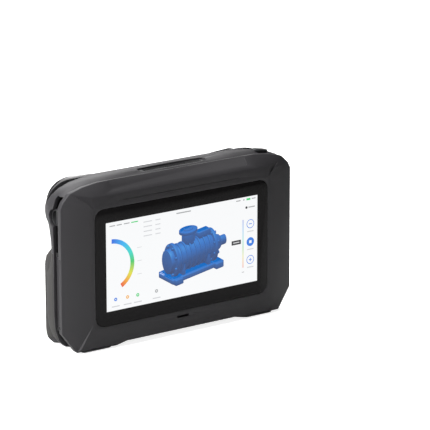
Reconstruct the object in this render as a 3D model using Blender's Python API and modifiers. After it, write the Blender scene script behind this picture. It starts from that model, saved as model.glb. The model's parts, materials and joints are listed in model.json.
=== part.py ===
"""Hand-held three-d scanner with a touch screen on one side and a stereo sensor head on the other.

Metres, +Z up. The screen faces -Y, the sensor head faces +Y, +X is to the right of someone who
looks at the screen. The origin is under the middle of the body, on the plane that the feet rest on.
A depth is counted from the face of the screen towards the sensor head.
"""

import math

import bmesh
import bpy
from mathutils import Matrix, Vector

# The whole body
overall_width = 0.2070
overall_height = 0.1300
half_width = overall_width / 2
seat_gap = 0.0003
overrun = 0.0020
flat_angle = math.radians(0.2)
round_steps = 14
small_round_steps = 8
# The solver for shells whose surfaces run close to each other, where the exact one fails
close_fit = "MANIFOLD"

# The screen
glass_side_border = 0.0260
glass_low_border = 0.0190
glass_top_border = 0.0210
glass_width = overall_width - 2 * glass_side_border
glass_height = overall_height - glass_low_border - glass_top_border
glass_centre_height = glass_low_border + glass_height / 2
glass_corner = 0.0070
glass_thickness = 0.0012
panel_side_border = 0.0065
panel_end_border = 0.0080
panel_width = glass_width - 2 * panel_side_border
panel_height = glass_height - 2 * panel_end_border
panel_thickness = 0.0036
panel_air = 0.0005
ledge_width = 0.0030

# The front bezel
bezel_depth = 0.0100
bezel_wall = 0.0028
bezel_face_wall = 0.0030
bezel_slope_wall = 0.0025
bezel_bevel = 0.0007
brow_side_inset = 0.0425
brow_half_width = half_width - brow_side_inset
brow_height = 0.0080
brow_sink = 0.0005
brow_corner = 0.0025
groove_end_inset = 0.0090
groove_half_width = brow_half_width - groove_end_inset
groove_height = 0.0010
groove_sink = 0.0006
groove_rise = 0.0050
groove_level = overall_height - glass_top_border + groove_rise
sound_slot_width = 0.0114
sound_slot_height = 0.0020
sound_slot_drop = 0.0046
sound_slot_level = glass_low_border - sound_slot_drop

# Each row: side, height and depth, as shares of half_width, overall_height and bezel_depth
bezel_face_shares = (
    (0.0, 0.123, 0.0), (0.473, 0.123, 0.0), (0.560, 0.123, 0.0), (0.759, 0.135, 0.0),
    (0.761, 0.169, 0.0), (0.761, 0.823, 0.0), (0.759, 0.851, 0.0), (0.747, 0.858, 0.0),
    (0.734, 0.862, 0.0), (0.676, 0.862, 0.0), (0.0, 0.862, 0.0),
)
bezel_crease_shares = (
    (0.0, 0.042, 0.05), (0.473, 0.042, 0.05), (0.560, 0.030, 0.08), (0.862, 0.030, 0.22),
    (0.773, 0.167, 0.01), (0.778, 0.831, 0.01), (0.806, 0.891, 0.10), (0.870, 0.922, 0.42),
    (0.773, 0.917, 0.12), (0.676, 0.915, 0.08), (0.0, 0.915, 0.08),
)
bezel_edge_shares = (
    (0.0, 0.027, 0.25), (0.473, 0.027, 0.25), (0.560, 0.011, 0.28), (0.885, 0.011, 0.45),
    (1.0, 0.136, 0.60), (0.998, 0.869, 0.60), (0.976, 0.904, 0.60), (0.918, 0.948, 0.62),
    (0.812, 0.971, 0.70), (0.676, 0.983, 0.80), (0.0, 0.983, 0.80),
)

# The middle frame, whose side wall is the floor of the dark channel round the body
frame_sink = 0.0049
frame_plate = 0.0015
frame_wall = 0.0022
frame_front_depth = glass_thickness + panel_air + panel_thickness + seat_gap
frame_shoulder_depth = 0.0093
frame_shoulder_width = 0.0100
channel_end_depth = 0.0172
frame_rear_depth = channel_end_depth - seat_gap
frame_top_level = bezel_edge_shares[-1][1] * overall_height - frame_sink
channel_top_drop = 0.0100
channel_top_level = overall_height - channel_top_drop

# The rear housing
housing_wall = 0.0030
housing_front_depth = bezel_depth + seat_gap
roof_drop = 0.0020
roof_full_depth = 0.0140
rear_face_depth = 0.0320
rear_edge_inset = 0.0009
rear_edge_depth = 0.0010
# Each row: depth share of rear_face_depth, and how far the outline has gone from full to rear
housing_ring_shares = ((0.66, 0.10), (0.80, 0.38), (0.90, 0.72))
housing_full_shares = (
    (0.0, 0.031), (0.483, 0.031), (0.560, 0.012), (0.638, 0.012), (0.830, 0.012),
    (0.905, 0.025), (0.955, 0.064), (0.988, 0.130), (0.996, 0.223), (0.996, 0.448),
    (0.996, 0.482), (0.996, 0.545), (0.996, 0.596), (0.996, 0.646), (0.996, 0.746),
    (0.996, 0.808), (0.992, 0.862), (0.972, 0.908), (0.920, 0.948), (0.836, 0.975),
    (0.715, 0.990), (0.560, 0.994), (0.0, 1.0),
)
housing_rear_shares = (
    (0.0, 0.035), (0.483, 0.035), (0.560, 0.017), (0.638, 0.016), (0.826, 0.016),
    (0.894, 0.031), (0.934, 0.069), (0.960, 0.138), (0.974, 0.223), (0.966, 0.448),
    (0.950, 0.482), (0.915, 0.545), (0.905, 0.596), (0.915, 0.646), (0.955, 0.746),
    (0.976, 0.808), (0.966, 0.862), (0.926, 0.900), (0.860, 0.934), (0.780, 0.957),
    (0.676, 0.971), (0.541, 0.977), (0.0, 0.977),
)

# The camera pods
pod_length = 0.0530
pod_height = 0.0380
pod_inner_side = 0.0366
pod_toe_in = math.radians(10)
pod_seam = 0.0007
pod_bevel = 0.0006
pod_end_steps = 8
lens_offset = 0.0075
lens_diameter = 0.0167
lens_length = 0.0074
lens_proud = 0.0003
lens_rim = 0.0010
lens_glass_diameter = 0.0112
lens_glass_thickness = 0.0016
lens_funnel_depth = 0.0019
# Each point of the glass: radius and depth below the crown as shares of the glass's own
lens_dome_shares = ((1.0, 1.0), (1.0, 0.55), (0.72, 0.20), (0.30, 0.0))
colour_lens_offset = -0.0165
colour_lens_diameter = 0.0098
colour_lens_length = 0.0055
colour_cone_share = 0.55
emitter_offset = -0.0145
emitter_rise = 0.0099
emitter_diameter = 0.0040
led_count = 6
led_size = 0.0030
led_sink = 0.0001
led_ring_radius = 0.0133
cover_thickness = 0.0014
pod_rim = 0.0016
light_board_inset = 0.0008
light_board_thickness = 0.0010
camera_board_width = 0.0420
camera_board_height = 0.0200
camera_board_thickness = 0.0012

# The sensor head
head_depth = 0.0392
head_centre_drop = 0.0247
head_centre_level = overall_height - head_centre_drop
overall_depth = head_depth + pod_length * math.tan(pod_toe_in)
# The rim of the head's face round the pods
head_rim_side = 0.0041
head_rim_height = 0.0004
head_half_length = pod_inner_side + pod_length + head_rim_side
head_half_height = pod_height / 2 + head_rim_height
# Each row: depth share between rear face and head face, share of head_half_length,
# share of head_half_height
head_ring_shares = (
    (0.0, 1.066, 1.072), (0.45, 1.052, 1.062), (0.80, 1.030, 1.039), (1.0, 1.0, 1.0),
)
head_end_steps = 8
head_groove_half_width = 0.0385
head_groove_rise = 0.0175
head_groove_level = head_centre_level + head_groove_rise
head_groove_height = 0.0009
head_groove_sink = 0.0015
window_half_length = 0.0340
window_height = 0.0310
window_thickness = 0.0013
window_recess = 0.0012
window_lip = 0.0014
sensor_board_thickness = 0.0012

# The sensors in the window, as side and height shares of the window's half length and height
rect_sensor_width = 0.0068
rect_sensor_height = 0.0084
rect_sensor_lean = math.radians(25)
rect_sensor_shares = (
    (0.041, 0.190, 0.0), (0.038, -0.190, 0.0), (-0.321, 0.190, 1.0), (-0.318, -0.190, -1.0),
)
square_sensor_size = 0.0087
square_sensor_shares = ((0.391, 0.0), (-0.724, 0.0))
round_sensor_diameter = 0.0062
round_sensor_share = 0.855
sensor_sink = 0.0001
sensor_step = 0.0008
sensor_rim = 0.0011

# The grips at both ends of the rear face, each row from the body out to the crest:
# depth share of grip_depth, inner and outer side as shares of half_width,
# lower and upper end as shares of grip_height, corner as a share of grip_corner
grip_depth = 0.0453
grip_head_gap = 0.0065
grip_height = head_centre_level - head_half_height * head_ring_shares[0][2] - grip_head_gap
grip_corner = 0.0130
grip_ring_shares = (
    (0.550, 0.464, 0.917, 0.037, 1.000, 0.50),
    (0.706, 0.502, 0.956, 0.022, 0.995, 0.58),
    (0.795, 0.551, 0.954, 0.023, 0.958, 0.68),
    (0.894, 0.585, 0.931, 0.040, 0.917, 0.75),
    (0.967, 0.618, 0.900, 0.078, 0.858, 0.70),
    (1.000, 0.662, 0.846, 0.148, 0.782, 0.50),
)
grip_corner_steps = 3

# The rubber inserts of the grips
insert_thickness = 0.0016
insert_start_depth = 0.0182
# Each point: side as a share of half_width, level as a share of grip_height
insert_zone_shares = (
    (0.665, 0.087), (0.880, 0.087), (1.10, 0.100), (1.10, 0.983), (0.860, 0.967),
    (0.725, 0.933), (0.655, 0.875), (0.622, 0.770), (0.622, 0.133),
)

# The bench that ties the two camera pods together, with its screws
bench_height = 0.0300
bench_thickness = 0.0030
bench_slot_shares = ((-0.62, 0.30), (0.0, 0.44), (0.62, 0.30))
bench_slot_height = 0.0130
screw_radius = 0.0010
screw_head_radius = 0.0020
screw_head_height = 0.0013
bench_screw_reach = 0.0035
# Along the length of a pod, from its inner end
bench_screw_pod_shares = (0.208, 0.753)
bench_screw_rise = 0.0125
bench_end = 0.0085
bench_half_width = pod_inner_side + bench_screw_pod_shares[-1] * pod_length + bench_end

# The intake grille in the rear face
grille_half_width = 0.0400
grille_height = 0.0350
grille_centre_level = 0.0392
grille_thickness = 0.0014
grille_corner = 0.0040
grille_pitch = 0.0040
grille_hole_diameter = 0.0026
grille_hole_steps = 4
grille_columns = 17
grille_rows = 8
grille_ledge = 0.0016

# The exhaust grille in the top
exhaust_length = 0.0600
exhaust_width = 0.0062
exhaust_centre_depth = 0.0150
exhaust_sink = 0.0016
exhaust_thickness = 0.0024
exhaust_slot_count = 3
exhaust_slot_width = 0.0010
exhaust_slot_shorter = 0.0080
exhaust_ledge = 0.0008

# The scan button on the right shoulder and the switch under it
button_side_inset = 0.0223
button_side = half_width - button_side_inset
button_drop = 0.0016
button_level = overall_height - button_drop
button_depth = 0.0152
button_length = 0.0130
button_width = 0.0062
button_tilt = math.radians(11)
button_proud = 0.0005
button_height = 0.0020
button_travel = 0.0008
button_clearance = 0.0003
button_dome = 0.0005
switch_size = 0.0052
switch_height = 0.0026

# The strap lugs in both sides
lug_drop = 0.0260
lug_level = overall_height - lug_drop
lug_depth = 0.0165
lug_radius = 0.0064
lug_wall = 0.0010
lug_length = 0.0048
lug_floor = 0.0010
lug_bar_radius = 0.0010

# The port door on the left side, its pin and the sockets behind it
door_low_level = 0.0210
door_lug_gap = 0.0236
door_high_level = lug_level - lug_radius - door_lug_gap
door_thickness = 0.0016
door_front_depth = 0.0070
door_pin_depth = 0.0158
door_pin_inset = 0.0036
door_pin_side = half_width - door_pin_inset
door_pin_radius = 0.00045
door_bore_radius = 0.00080
door_knuckle_radius = 0.0011
door_rim_sink = 0.0002
door_lug_length = 0.0030
door_lug_radius = 0.0013
door_root_share = 0.85
door_knee_share = 0.33
socket_depth = 0.0122
socket_length = 0.0050
usb_width = 0.0090
usb_height = 0.0033
# Levels of the sockets as shares of the door's height
usb_share = 0.283
power_share = 0.660
usb_level = door_low_level + usb_share * (door_high_level - door_low_level)
power_radius = 0.0026
power_bore_radius = 0.0014
power_level = door_low_level + power_share * (door_high_level - door_low_level)
socket_wall = 0.0004

# The batteries in the grips
battery_side_share = 0.739
battery_side = battery_side_share * half_width
battery_width = 0.0200
battery_front_depth = 0.0185
battery_thickness = 0.0160
battery_corner = 0.0030
battery_low_level = 0.0170
battery_top_gap = 0.0190
battery_height = grip_height - battery_top_gap - battery_low_level
tray_wall = 0.0014
tray_reach = 0.0080

# The electronics
board_side_gap = 0.0051
board_half_width = battery_side - battery_width / 2 - tray_wall - board_side_gap
board_low_level = 0.0130
board_top_drop = 0.0300
board_high_level = overall_height - board_top_drop
board_thickness = 0.0016
standoff_radius = 0.0026
standoff_height = 0.0030
standoff_inset = 0.0040
chip_size = 0.0160
chip_thickness = 0.0012
memory_length = 0.0110
memory_width = 0.0080
memory_spacing = 0.0120
memory_sink_gap = 0.0075
memory_count = 4
speaker_width = 0.0150
speaker_height = 0.0080
sink_half_width = 0.0240
sink_height = 0.0440
memory_level = grille_centre_level + sink_height / 2 + memory_sink_gap
sink_base = 0.0018
sink_fin_thickness = 0.0010
sink_fin_count = 11
sink_post_radius = 0.0022

# The fan behind the intake grille
fan_size = 0.0400
fan_thickness = 0.0080
fan_bore_radius = 0.0185
fan_hub_radius = 0.0080
fan_strut_width = 0.0022
fan_strut_thickness = 0.0012
fan_strut_inset = 0.0001
fan_strut_count = 3
fan_shaft_radius = 0.0011
fan_bearing_radius = 0.0015
fan_tip_gap = 0.0007
fan_blade_count = 7
fan_blade_thickness = 0.0009
fan_blade_pitch = math.radians(38)
fan_corner = 0.0030
fan_running_gap = 0.0006
fan_chord_share = 0.86
fan_root_share = 0.80

# The feet
foot_side_inset = 0.0175
foot_length = 0.0250
foot_outer_side = half_width - foot_side_inset
foot_inner_side = foot_outer_side - foot_length
foot_front_depth = 0.0050
foot_rear_depth = 0.0300
foot_corner = 0.0020


def clear_scene():
    for item in list(bpy.data.objects):
        bpy.data.objects.remove(item, do_unlink=True)


def collection(name):
    group = bpy.data.collections.new(name)
    bpy.context.scene.collection.children.link(group)
    return group


clear_scene()
parts = collection("three_d_scanner")
cutters = collection("cutters")


def material(name, colour, roughness, metallic=0.0):
    finish = bpy.data.materials.new(name)
    finish.use_nodes = True
    shader = finish.node_tree.nodes["Principled BSDF"]
    shader.inputs["Base Color"].default_value = (*colour, 1.0)
    shader.inputs["Roughness"].default_value = roughness
    shader.inputs["Metallic"].default_value = metallic
    return finish


housing_colour = (0.035, 0.034, 0.036)
gloss_colour = (0.006, 0.006, 0.007)
rubber_colour = (0.026, 0.025, 0.025)
dark_colour = (0.012, 0.012, 0.013)
board_colour = (0.01, 0.07, 0.03)
chip_colour = (0.015, 0.015, 0.017)
metal_colour = (0.62, 0.62, 0.64)
led_colour = (0.85, 0.84, 0.60)
battery_colour = (0.05, 0.14, 0.32)
display_colour = (0.85, 0.87, 0.90)
lens_colour = (0.03, 0.02, 0.03)
foot_colour = (0.09, 0.09, 0.09)


def at_depth(depth):
    """The Y of a depth behind the face of the screen."""
    return depth - overall_depth / 2


def mesh_object(name, bm, finish=None):
    """A new object from a bmesh: a part when it has a finish, otherwise a cutter."""
    quads = [face for face in bm.faces if len(face.verts) == 4]
    bmesh.ops.connect_verts_nonplanar(bm, angle_limit=flat_angle, faces=quads)
    bmesh.ops.recalc_face_normals(bm, faces=bm.faces[:])
    mesh = bpy.data.meshes.new(name)
    bm.to_mesh(mesh)
    bm.free()
    item = bpy.data.objects.new(name, mesh)
    if finish is None:
        cutters.objects.link(item)
        item.hide_render = True
        item.display_type = "WIRE"
    else:
        parts.objects.link(item)
        mesh.materials.append(finish)
    return item


def loft_bmesh(bm, rings):
    """Skins rings of equally many points and closes both ends."""
    rows = [[bm.verts.new(point) for point in ring] for ring in rings]
    count = len(rows[0])
    for low, high in zip(rows, rows[1:]):
        for index in range(count):
            after = (index + 1) % count
            bm.faces.new((low[index], low[after], high[after], high[index]))
    bm.faces.new(rows[0])
    bm.faces.new(rows[-1])


def loft(name, rings, finish=None):
    bm = bmesh.new()
    loft_bmesh(bm, rings)
    return mesh_object(name, bm, finish)


def mirrored(half):
    """A whole outline from its right half, which starts and ends on the middle line."""
    left = [(-point[0], *point[1:]) for point in reversed(half[1:-1])]
    return list(half) + left


def inset_outline(points, distance):
    """Moves a closed outline inwards by a distance. Its points run anticlockwise."""
    result = []
    count = len(points)
    for index, (x, z) in enumerate(points):
        before = Vector(points[index - 1])
        here = Vector((x, z))
        after = Vector(points[(index + 1) % count])
        one = (here - before).normalized()
        two = (after - here).normalized()
        normal_one = Vector((-one.y, one.x))
        normal_two = Vector((-two.y, two.x))
        middle = normal_one + normal_two
        middle = middle.normalized()
        reach = distance / max(middle.dot(normal_one), 0.5)
        moved = here + middle * reach
        result.append((moved.x, moved.y))
    return result


def rounded_outline(low_x, high_x, low_z, high_z, radius, steps):
    """A rounded rectangle, anticlockwise from its lower right corner."""
    corners = (
        (high_x - radius, low_z + radius),
        (high_x - radius, high_z - radius),
        (low_x + radius, high_z - radius),
        (low_x + radius, low_z + radius),
    )
    points = []
    for index, (x, z) in enumerate(corners):
        for step in range(steps + 1):
            angle = math.pi / 2 * (index - 1 + step / steps)
            points.append((x + radius * math.cos(angle), z + radius * math.sin(angle)))
    return points


def stadium_outline(half_length, half_height, steps):
    """A slot outline with round ends, anticlockwise, about the origin."""
    reach = half_length - half_height
    points = []
    for side in (1, -1):
        for step in range(steps + 1):
            angle = math.pi * (step / steps - side / 2)
            points.append((side * reach + half_height * math.cos(angle), half_height * math.sin(angle)))
    return points


def circle_outline(radius, steps):
    angles = [math.tau * (step + 0.5) / steps for step in range(steps)]
    return [(radius * math.cos(angle), radius * math.sin(angle)) for angle in angles]


def ring_at(outline, depth):
    """An outline of sides and heights, stood up at one depth."""
    return [(x, at_depth(depth), z) for x, z in outline]


def slab(name, outline, front_depth, rear_depth, finish=None):
    """A flat outline of sides and heights, with a thickness from one depth to another."""
    return loft(name, [ring_at(outline, front_depth), ring_at(outline, rear_depth)], finish)


def shifted(outline, x, z):
    return [(px + x, pz + z) for px, pz in outline]


def turned(outline, angle):
    cosine = math.cos(angle)
    sine = math.sin(angle)
    return [(x * cosine - z * sine, x * sine + z * cosine) for x, z in outline]


def box_outline(low_x, high_x, low_z, high_z):
    return [(high_x, low_z), (high_x, high_z), (low_x, high_z), (low_x, low_z)]


def box(name, low_x, high_x, front_depth, rear_depth, low_z, high_z, finish=None):
    """A block between two sides, two depths and two heights."""
    bm = bmesh.new()
    bmesh.ops.create_cube(bm, size=1.0)
    size = Matrix.Diagonal((high_x - low_x, rear_depth - front_depth, high_z - low_z, 1.0))
    centre = ((low_x + high_x) / 2, at_depth((front_depth + rear_depth) / 2), (low_z + high_z) / 2)
    bm.transform(Matrix.Translation(centre) @ size)
    return mesh_object(name, bm, finish)


def boolean(target, tool, operation, solver):
    step = target.modifiers.new(tool.name, "BOOLEAN")
    step.operation = operation
    step.solver = solver
    step.object = tool


def cut(target, tool, solver="EXACT"):
    boolean(target, tool, "DIFFERENCE", solver)


def join(target, tool, solver="EXACT"):
    boolean(target, tool, "UNION", solver)


def keep(target, tool, solver="EXACT"):
    boolean(target, tool, "INTERSECT", solver)


def bevel(target, width, segments=1, angle=math.radians(30)):
    edge = target.modifiers.new("bevel", "BEVEL")
    edge.width = width
    edge.segments = segments
    edge.limit_method = "ANGLE"
    edge.angle_limit = angle
    edge.use_clamp_overlap = True


def settle(item):
    """Replaces an object's mesh by what its modifiers make of it."""
    bpy.context.view_layer.update()
    graph = bpy.context.evaluated_depsgraph_get()
    mesh = bpy.data.meshes.new_from_object(item.evaluated_get(graph))
    old = item.data
    item.modifiers.clear()
    item.data = mesh
    bpy.data.meshes.remove(old)
    return item


def lathe(name, profile, steps, placement, finish=None):
    """Turns a profile of radii and heights about the local Y axis, then places it."""
    bm = bmesh.new()
    rings = []
    for radius, height in profile:
        outline = circle_outline(radius, steps)
        rings.append([(x, height, z) for x, z in outline])
    loft_bmesh(bm, rings)
    bm.transform(placement)
    return mesh_object(name, bm, finish)


def side_shares_outline(shares, inset=0.0):
    """A whole outline from shares of half_width and overall_height, moved in by an inset."""
    half = [(x * half_width, z * overall_height) for x, z in shares]
    return inset_outline(mirrored(half), inset) if inset else mirrored(half)


# Front bezel with the screen


def bezel_ring(shares, depth_scale, inset=0.0):
    half = [(x * half_width, z * overall_height, d * depth_scale) for x, z, d in shares]
    whole = mirrored(half)
    outline = [(x, z) for x, z, d in whole]
    if inset:
        outline = inset_outline(outline, inset)
    return [(x, at_depth(d), z) for (x, z), (_, _, d) in zip(outline, whole)]


def glass_outline(grow):
    half_x = glass_width / 2 + grow
    half_z = glass_height / 2 + grow
    corner = glass_corner + grow
    low_z = glass_centre_height - half_z
    high_z = glass_centre_height + half_z
    return rounded_outline(-half_x, half_x, low_z, high_z, corner, grip_corner_steps)


def door_envelope(grow):
    """The space of the port door in the left rim, grown on every side."""
    outline = box_outline(-overall_width, -(half_width - bezel_wall - overrun),
                          door_low_level - grow, door_high_level + grow)
    return slab("door_space", outline, door_front_depth - grow, bezel_depth + overrun)


def bezel():
    finish = material("bezel", housing_colour, 0.55)
    edge = bezel_ring(bezel_edge_shares, bezel_depth)
    seam = [(x, at_depth(bezel_depth), z) for x, y, z in edge]
    face = bezel_ring(bezel_face_shares, bezel_depth)
    crease = bezel_ring(bezel_crease_shares, bezel_depth)
    body = loft("front_bezel", [face, crease, edge, seam], finish)
    bevel(body, bezel_bevel, 1, math.radians(14))
    cut(body, slab("glass_pocket", glass_outline(seat_gap), -overrun, glass_thickness + seat_gap),
        close_fit)
    cut(body, slab("panel_opening", glass_outline(-ledge_width), -overrun, bezel_depth), close_fit)
    inner_edge = bezel_ring(bezel_edge_shares, bezel_depth, bezel_wall)
    inner_crease = bezel_ring(bezel_crease_shares, bezel_depth, bezel_slope_wall)
    hollow = [
        [(x, at_depth(bezel_face_wall), z) for x, y, z in face],
        [(x, y + bezel_slope_wall, z) for x, y, z in inner_crease],
        [(x, y + bezel_slope_wall, z) for x, y, z in inner_edge],
        [(x, at_depth(bezel_depth + overrun), z) for x, y, z in inner_edge],
    ]
    cut(body, loft("bezel_hollow", hollow), close_fit)
    slot = stadium_outline(sound_slot_width / 2, sound_slot_height / 2, small_round_steps // 2)
    cut(body, slab("sound_slot", shifted(slot, 0.0, sound_slot_level), -overrun, bezel_depth), close_fit)
    cut(body, brow_cutter(), close_fit)
    groove = stadium_outline(groove_half_width, groove_height / 2, small_round_steps // 3)
    cut(body, slab("brow_groove", shifted(groove, 0.0, groove_level), -overrun, groove_sink),
        close_fit)
    cut(body, door_envelope(seat_gap), close_fit)
    return body


def brow_cutter():
    """A shallow tray in the sloping top strip of the bezel, open at its upper edge."""
    low = bezel_crease_shares[-1]
    high = bezel_edge_shares[-1]
    start = Vector((0.0, at_depth(low[2] * bezel_depth), low[1] * overall_height))
    end = Vector((0.0, at_depth(high[2] * bezel_depth), high[1] * overall_height))
    along = (end - start).normalized()
    outward = Vector((0.0, -along.z, along.y))
    top = brow_height + overrun
    outline = rounded_outline(-brow_half_width, brow_half_width, 0.0, 2 * top, brow_corner, 3)
    base = end - along * brow_height

    def placed(depth):
        return [base + Vector((x, 0.0, 0.0)) + along * z - outward * depth for x, z in outline]

    return loft("brow_tray", [placed(brow_sink), placed(-overrun)])


def screen():
    glass = material("cover_glass", gloss_colour, 0.05)
    slab("display_glass", glass_outline(0.0), 0.0, glass_thickness, glass)
    finish = material("display", display_colour, 0.3)
    outline = box_outline(-panel_width / 2, panel_width / 2,
                          glass_centre_height - panel_height / 2, glass_centre_height + panel_height / 2)
    front = glass_thickness + panel_air
    slab("display_panel", outline, front, front + panel_thickness, finish)
    speaker_finish = material("speaker", chip_colour, 0.5)
    half = speaker_width / 2
    box("speaker", -half, half, bezel_face_wall + seat_gap, frame_front_depth - seat_gap,
        sound_slot_level - speaker_height / 2, sound_slot_level + speaker_height / 2, speaker_finish)


# Middle frame


def frame_outline(inset):
    edge = bezel_ring(bezel_edge_shares, bezel_depth)
    return inset_outline([(x, z) for x, y, z in edge], frame_sink + inset)


def frame_form(name, wall, plate, rear_depth, finish=None):
    """The frame's outer form, whose front follows the slopes of the bezel, or its hollow behind them."""
    rings = [
        ring_at(frame_outline(frame_shoulder_width), frame_front_depth + plate),
        ring_at(frame_outline(wall), frame_shoulder_depth + plate),
        ring_at(frame_outline(wall), rear_depth),
    ]
    return loft(name, rings, finish)


def board_corners():
    side = board_half_width - standoff_inset
    low = board_low_level + standoff_inset
    high = board_high_level - standoff_inset
    return [(x, z) for x in (-side, side) for z in (low, high)]


def plate_rear_depth():
    return frame_front_depth + frame_plate


def board_front_depth():
    return plate_rear_depth() + standoff_height + seat_gap


def board_rear_depth():
    return board_front_depth() + board_thickness


def pin_cylinder(name, radius, low_z, high_z, finish=None, steps=small_round_steps):
    """A cylinder along Z on the axis of the port door."""
    bm = bmesh.new()
    outline = circle_outline(radius, steps)
    centre_y = at_depth(door_pin_depth)
    rings = [[(x - door_pin_side, y + centre_y, z) for x, y in outline] for z in (low_z, high_z)]
    loft_bmesh(bm, rings)
    return mesh_object(name, bm, finish)


def middle_frame(lug_bores):
    finish = material("frame", dark_colour, 0.6)
    body = frame_form("middle_frame", 0.0, 0.0, frame_rear_depth, finish)
    cut(body, frame_form("frame_hollow", frame_wall, frame_plate, frame_rear_depth + overrun), close_fit)
    for index, (x, z) in enumerate(board_corners()):
        post = shifted(circle_outline(standoff_radius, small_round_steps), x, z)
        rear = plate_rear_depth() + standoff_height
        join(body, slab(f"standoff_{index}", post, plate_rear_depth() - frame_plate / 2, rear))
    ends = ((door_low_level - seat_gap - door_lug_length, door_low_level - seat_gap),
            (door_high_level + seat_gap, door_high_level + seat_gap + door_lug_length))
    for index, (low_z, high_z) in enumerate(ends):
        ear = pin_cylinder(f"door_ear_{index}", door_lug_radius, low_z, high_z)
        join(ear, box(f"door_ear_root_{index}", -door_pin_side, -(half_width - frame_sink - frame_wall * 2),
                      door_pin_depth - door_lug_radius * door_root_share,
                      door_pin_depth + door_lug_radius * door_root_share,
                      low_z, high_z))
        join(body, ear)
    reach = door_lug_length + overrun
    cut(body, pin_cylinder("door_pin_bore", door_pin_radius + seat_gap,
                           door_low_level - reach, door_high_level + reach))
    cut(body, usb_space("usb_opening", seat_gap, overrun))
    cut(body, power_space("power_opening", power_radius + seat_gap, overrun))
    cut(body, switch_space("switch_seat", seat_gap))
    for bore in lug_bores:
        cut(body, bore)
    return body


# Rear housing


def housing_rings(inset, front_depth, skip=1):
    """The outlines of the rear housing from the bezel back to its rear face."""
    full = side_shares_outline(housing_full_shares, inset)
    rear = side_shares_outline(housing_rear_shares, inset)
    drop = 1 - roof_drop / overall_height
    rings = [ring_at([(x, z * drop) for x, z in full], front_depth)]
    if front_depth >= housing_front_depth:
        rings.append(ring_at(full, roof_full_depth))
    else:
        rings.append(ring_at([(x, z * drop) for x, z in full], housing_front_depth))
        rings.append(ring_at(full, roof_full_depth + inset / 2))
    for depth_share, blend in housing_ring_shares[::skip]:
        mixed = [(fx + (rx - fx) * blend, fz + (rz - fz) * blend)
                 for (fx, fz), (rx, rz) in zip(full, rear)]
        rings.append(ring_at(mixed, depth_share * rear_face_depth - inset / 2))
    rings.append(ring_at(rear, rear_face_depth - rear_edge_depth - inset))
    rings.append(ring_at(inset_outline(rear, rear_edge_inset), rear_face_depth - inset))
    return rings


def grip_rings(side, inset, skip=1):
    rings = []
    rows = grip_ring_shares[:1] + grip_ring_shares[1::skip]
    for depth_share, inner, outer, low, high, corner in rows:
        low_x = inner * half_width + inset
        high_x = outer * half_width - inset
        low_z = low * grip_height + inset
        high_z = high * grip_height - inset
        radius = max(corner * grip_corner - inset / 2, inset)
        outline = rounded_outline(low_x, high_x, low_z, high_z, radius, grip_corner_steps)
        depth = depth_share * grip_depth - (inset if rings else 0.0)
        rings.append([(x * side, y, z) for x, y, z in ring_at(outline, depth)])
    return rings


def rear_form(name, inset, front_depth=housing_front_depth, finish=None, skip=1):
    """The whole outer shape of the rear housing, moved in by an inset on every side.

    A skip of 2 leaves out every second ring, for inner surfaces that nobody sees.
    """
    body = loft(name, housing_rings(inset, front_depth, skip), finish)
    for side in (1, -1):
        join(body, loft(f"{name}_grip_{side}", grip_rings(side, inset, skip)), close_fit)
    return settle(body)


def insert_zone(name, side, inset):
    half = [(x * half_width, z * grip_height) for x, z in insert_zone_shares]
    outline = inset_outline(half, inset) if inset else half
    outline = [(x * side, z) for x, z in outline]
    return slab(name, outline, insert_start_depth + inset, overall_depth + overrun)


def lug_bore(name, side, radius):
    """The round space of a strap lug, bored into the side of the body."""
    start = half_width - frame_sink - lug_length + overrun
    placement = (Matrix.Translation((0.0, at_depth(lug_depth), lug_level))
                 @ Matrix.Rotation(math.radians(-90 * side), 4, "Z"))
    return lathe(name, [(radius, start), (radius, half_width + overrun)], round_steps, placement)


def button_frame():
    """The local frame of the scan button: its Z axis is the way it travels out."""
    return (Matrix.Translation((button_side, at_depth(button_depth), button_level))
            @ Matrix.Rotation(button_tilt, 4, "Y"))


def button_prism(name, half_length, half_width_, low, high, finish=None):
    outline = stadium_outline(half_length, half_width_, small_round_steps // 2)
    rings = [[(x, y, z) for x, y in outline] for z in (low, high)]
    bm = bmesh.new()
    loft_bmesh(bm, rings)
    bm.transform(button_frame())
    return mesh_object(name, bm, finish)


def switch_space(name, grow, finish=None):
    """The switch under the scan button, or its seat in the frame, grown on every side."""
    half = switch_size / 2
    top = button_level + button_proud - button_height - button_travel - seat_gap
    top -= math.sin(button_tilt) * button_length / 2
    return box(name, button_side - half - grow, button_side + half + grow,
               button_depth - half / 2 - grow, frame_rear_depth - seat_gap + grow,
               top - switch_height - grow, top + grow, finish)


def exhaust_outline(half_length, half_width_):
    outline = stadium_outline(half_length, half_width_, small_round_steps // 2)
    return [(x, y + at_depth(exhaust_centre_depth)) for x, y in outline]


def upright(name, outline, low_z, high_z, finish=None):
    """A flat outline of sides and rear-and-front places, raised from one height to another."""
    rings = [[(x, y, z) for x, y in outline] for z in (low_z, high_z)]
    return loft(name, rings, finish)


def bench_screw_places():
    places = []
    for side in (1, -1):
        for share, rise in zip(bench_screw_pod_shares, (bench_screw_rise, -bench_screw_rise)):
            places.append((side * (pod_inner_side + share * pod_length), head_centre_level + rise))
    return places


def bench_front_depth():
    return rear_face_depth - housing_wall - seat_gap - bench_thickness


def bench_screw_bores():
    """One cutter with the clearance holes of all the bench screws."""
    bm = bmesh.new()
    for x, z in bench_screw_places():
        hole = shifted(circle_outline(screw_radius + seat_gap, small_round_steps), x, z)
        front = bench_front_depth() - overrun
        rear = rear_face_depth + bench_screw_reach + seat_gap
        loft_bmesh(bm, [ring_at(hole, front), ring_at(hole, rear)])
    return mesh_object("bench_screw_bores", bm)


def grille_outline(grow):
    half = grille_half_width + grow
    low = grille_centre_level - grille_height / 2 - grow
    high = grille_centre_level + grille_height / 2 + grow
    return rounded_outline(-half, half, low, high, grille_corner + grow, 3)


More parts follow.
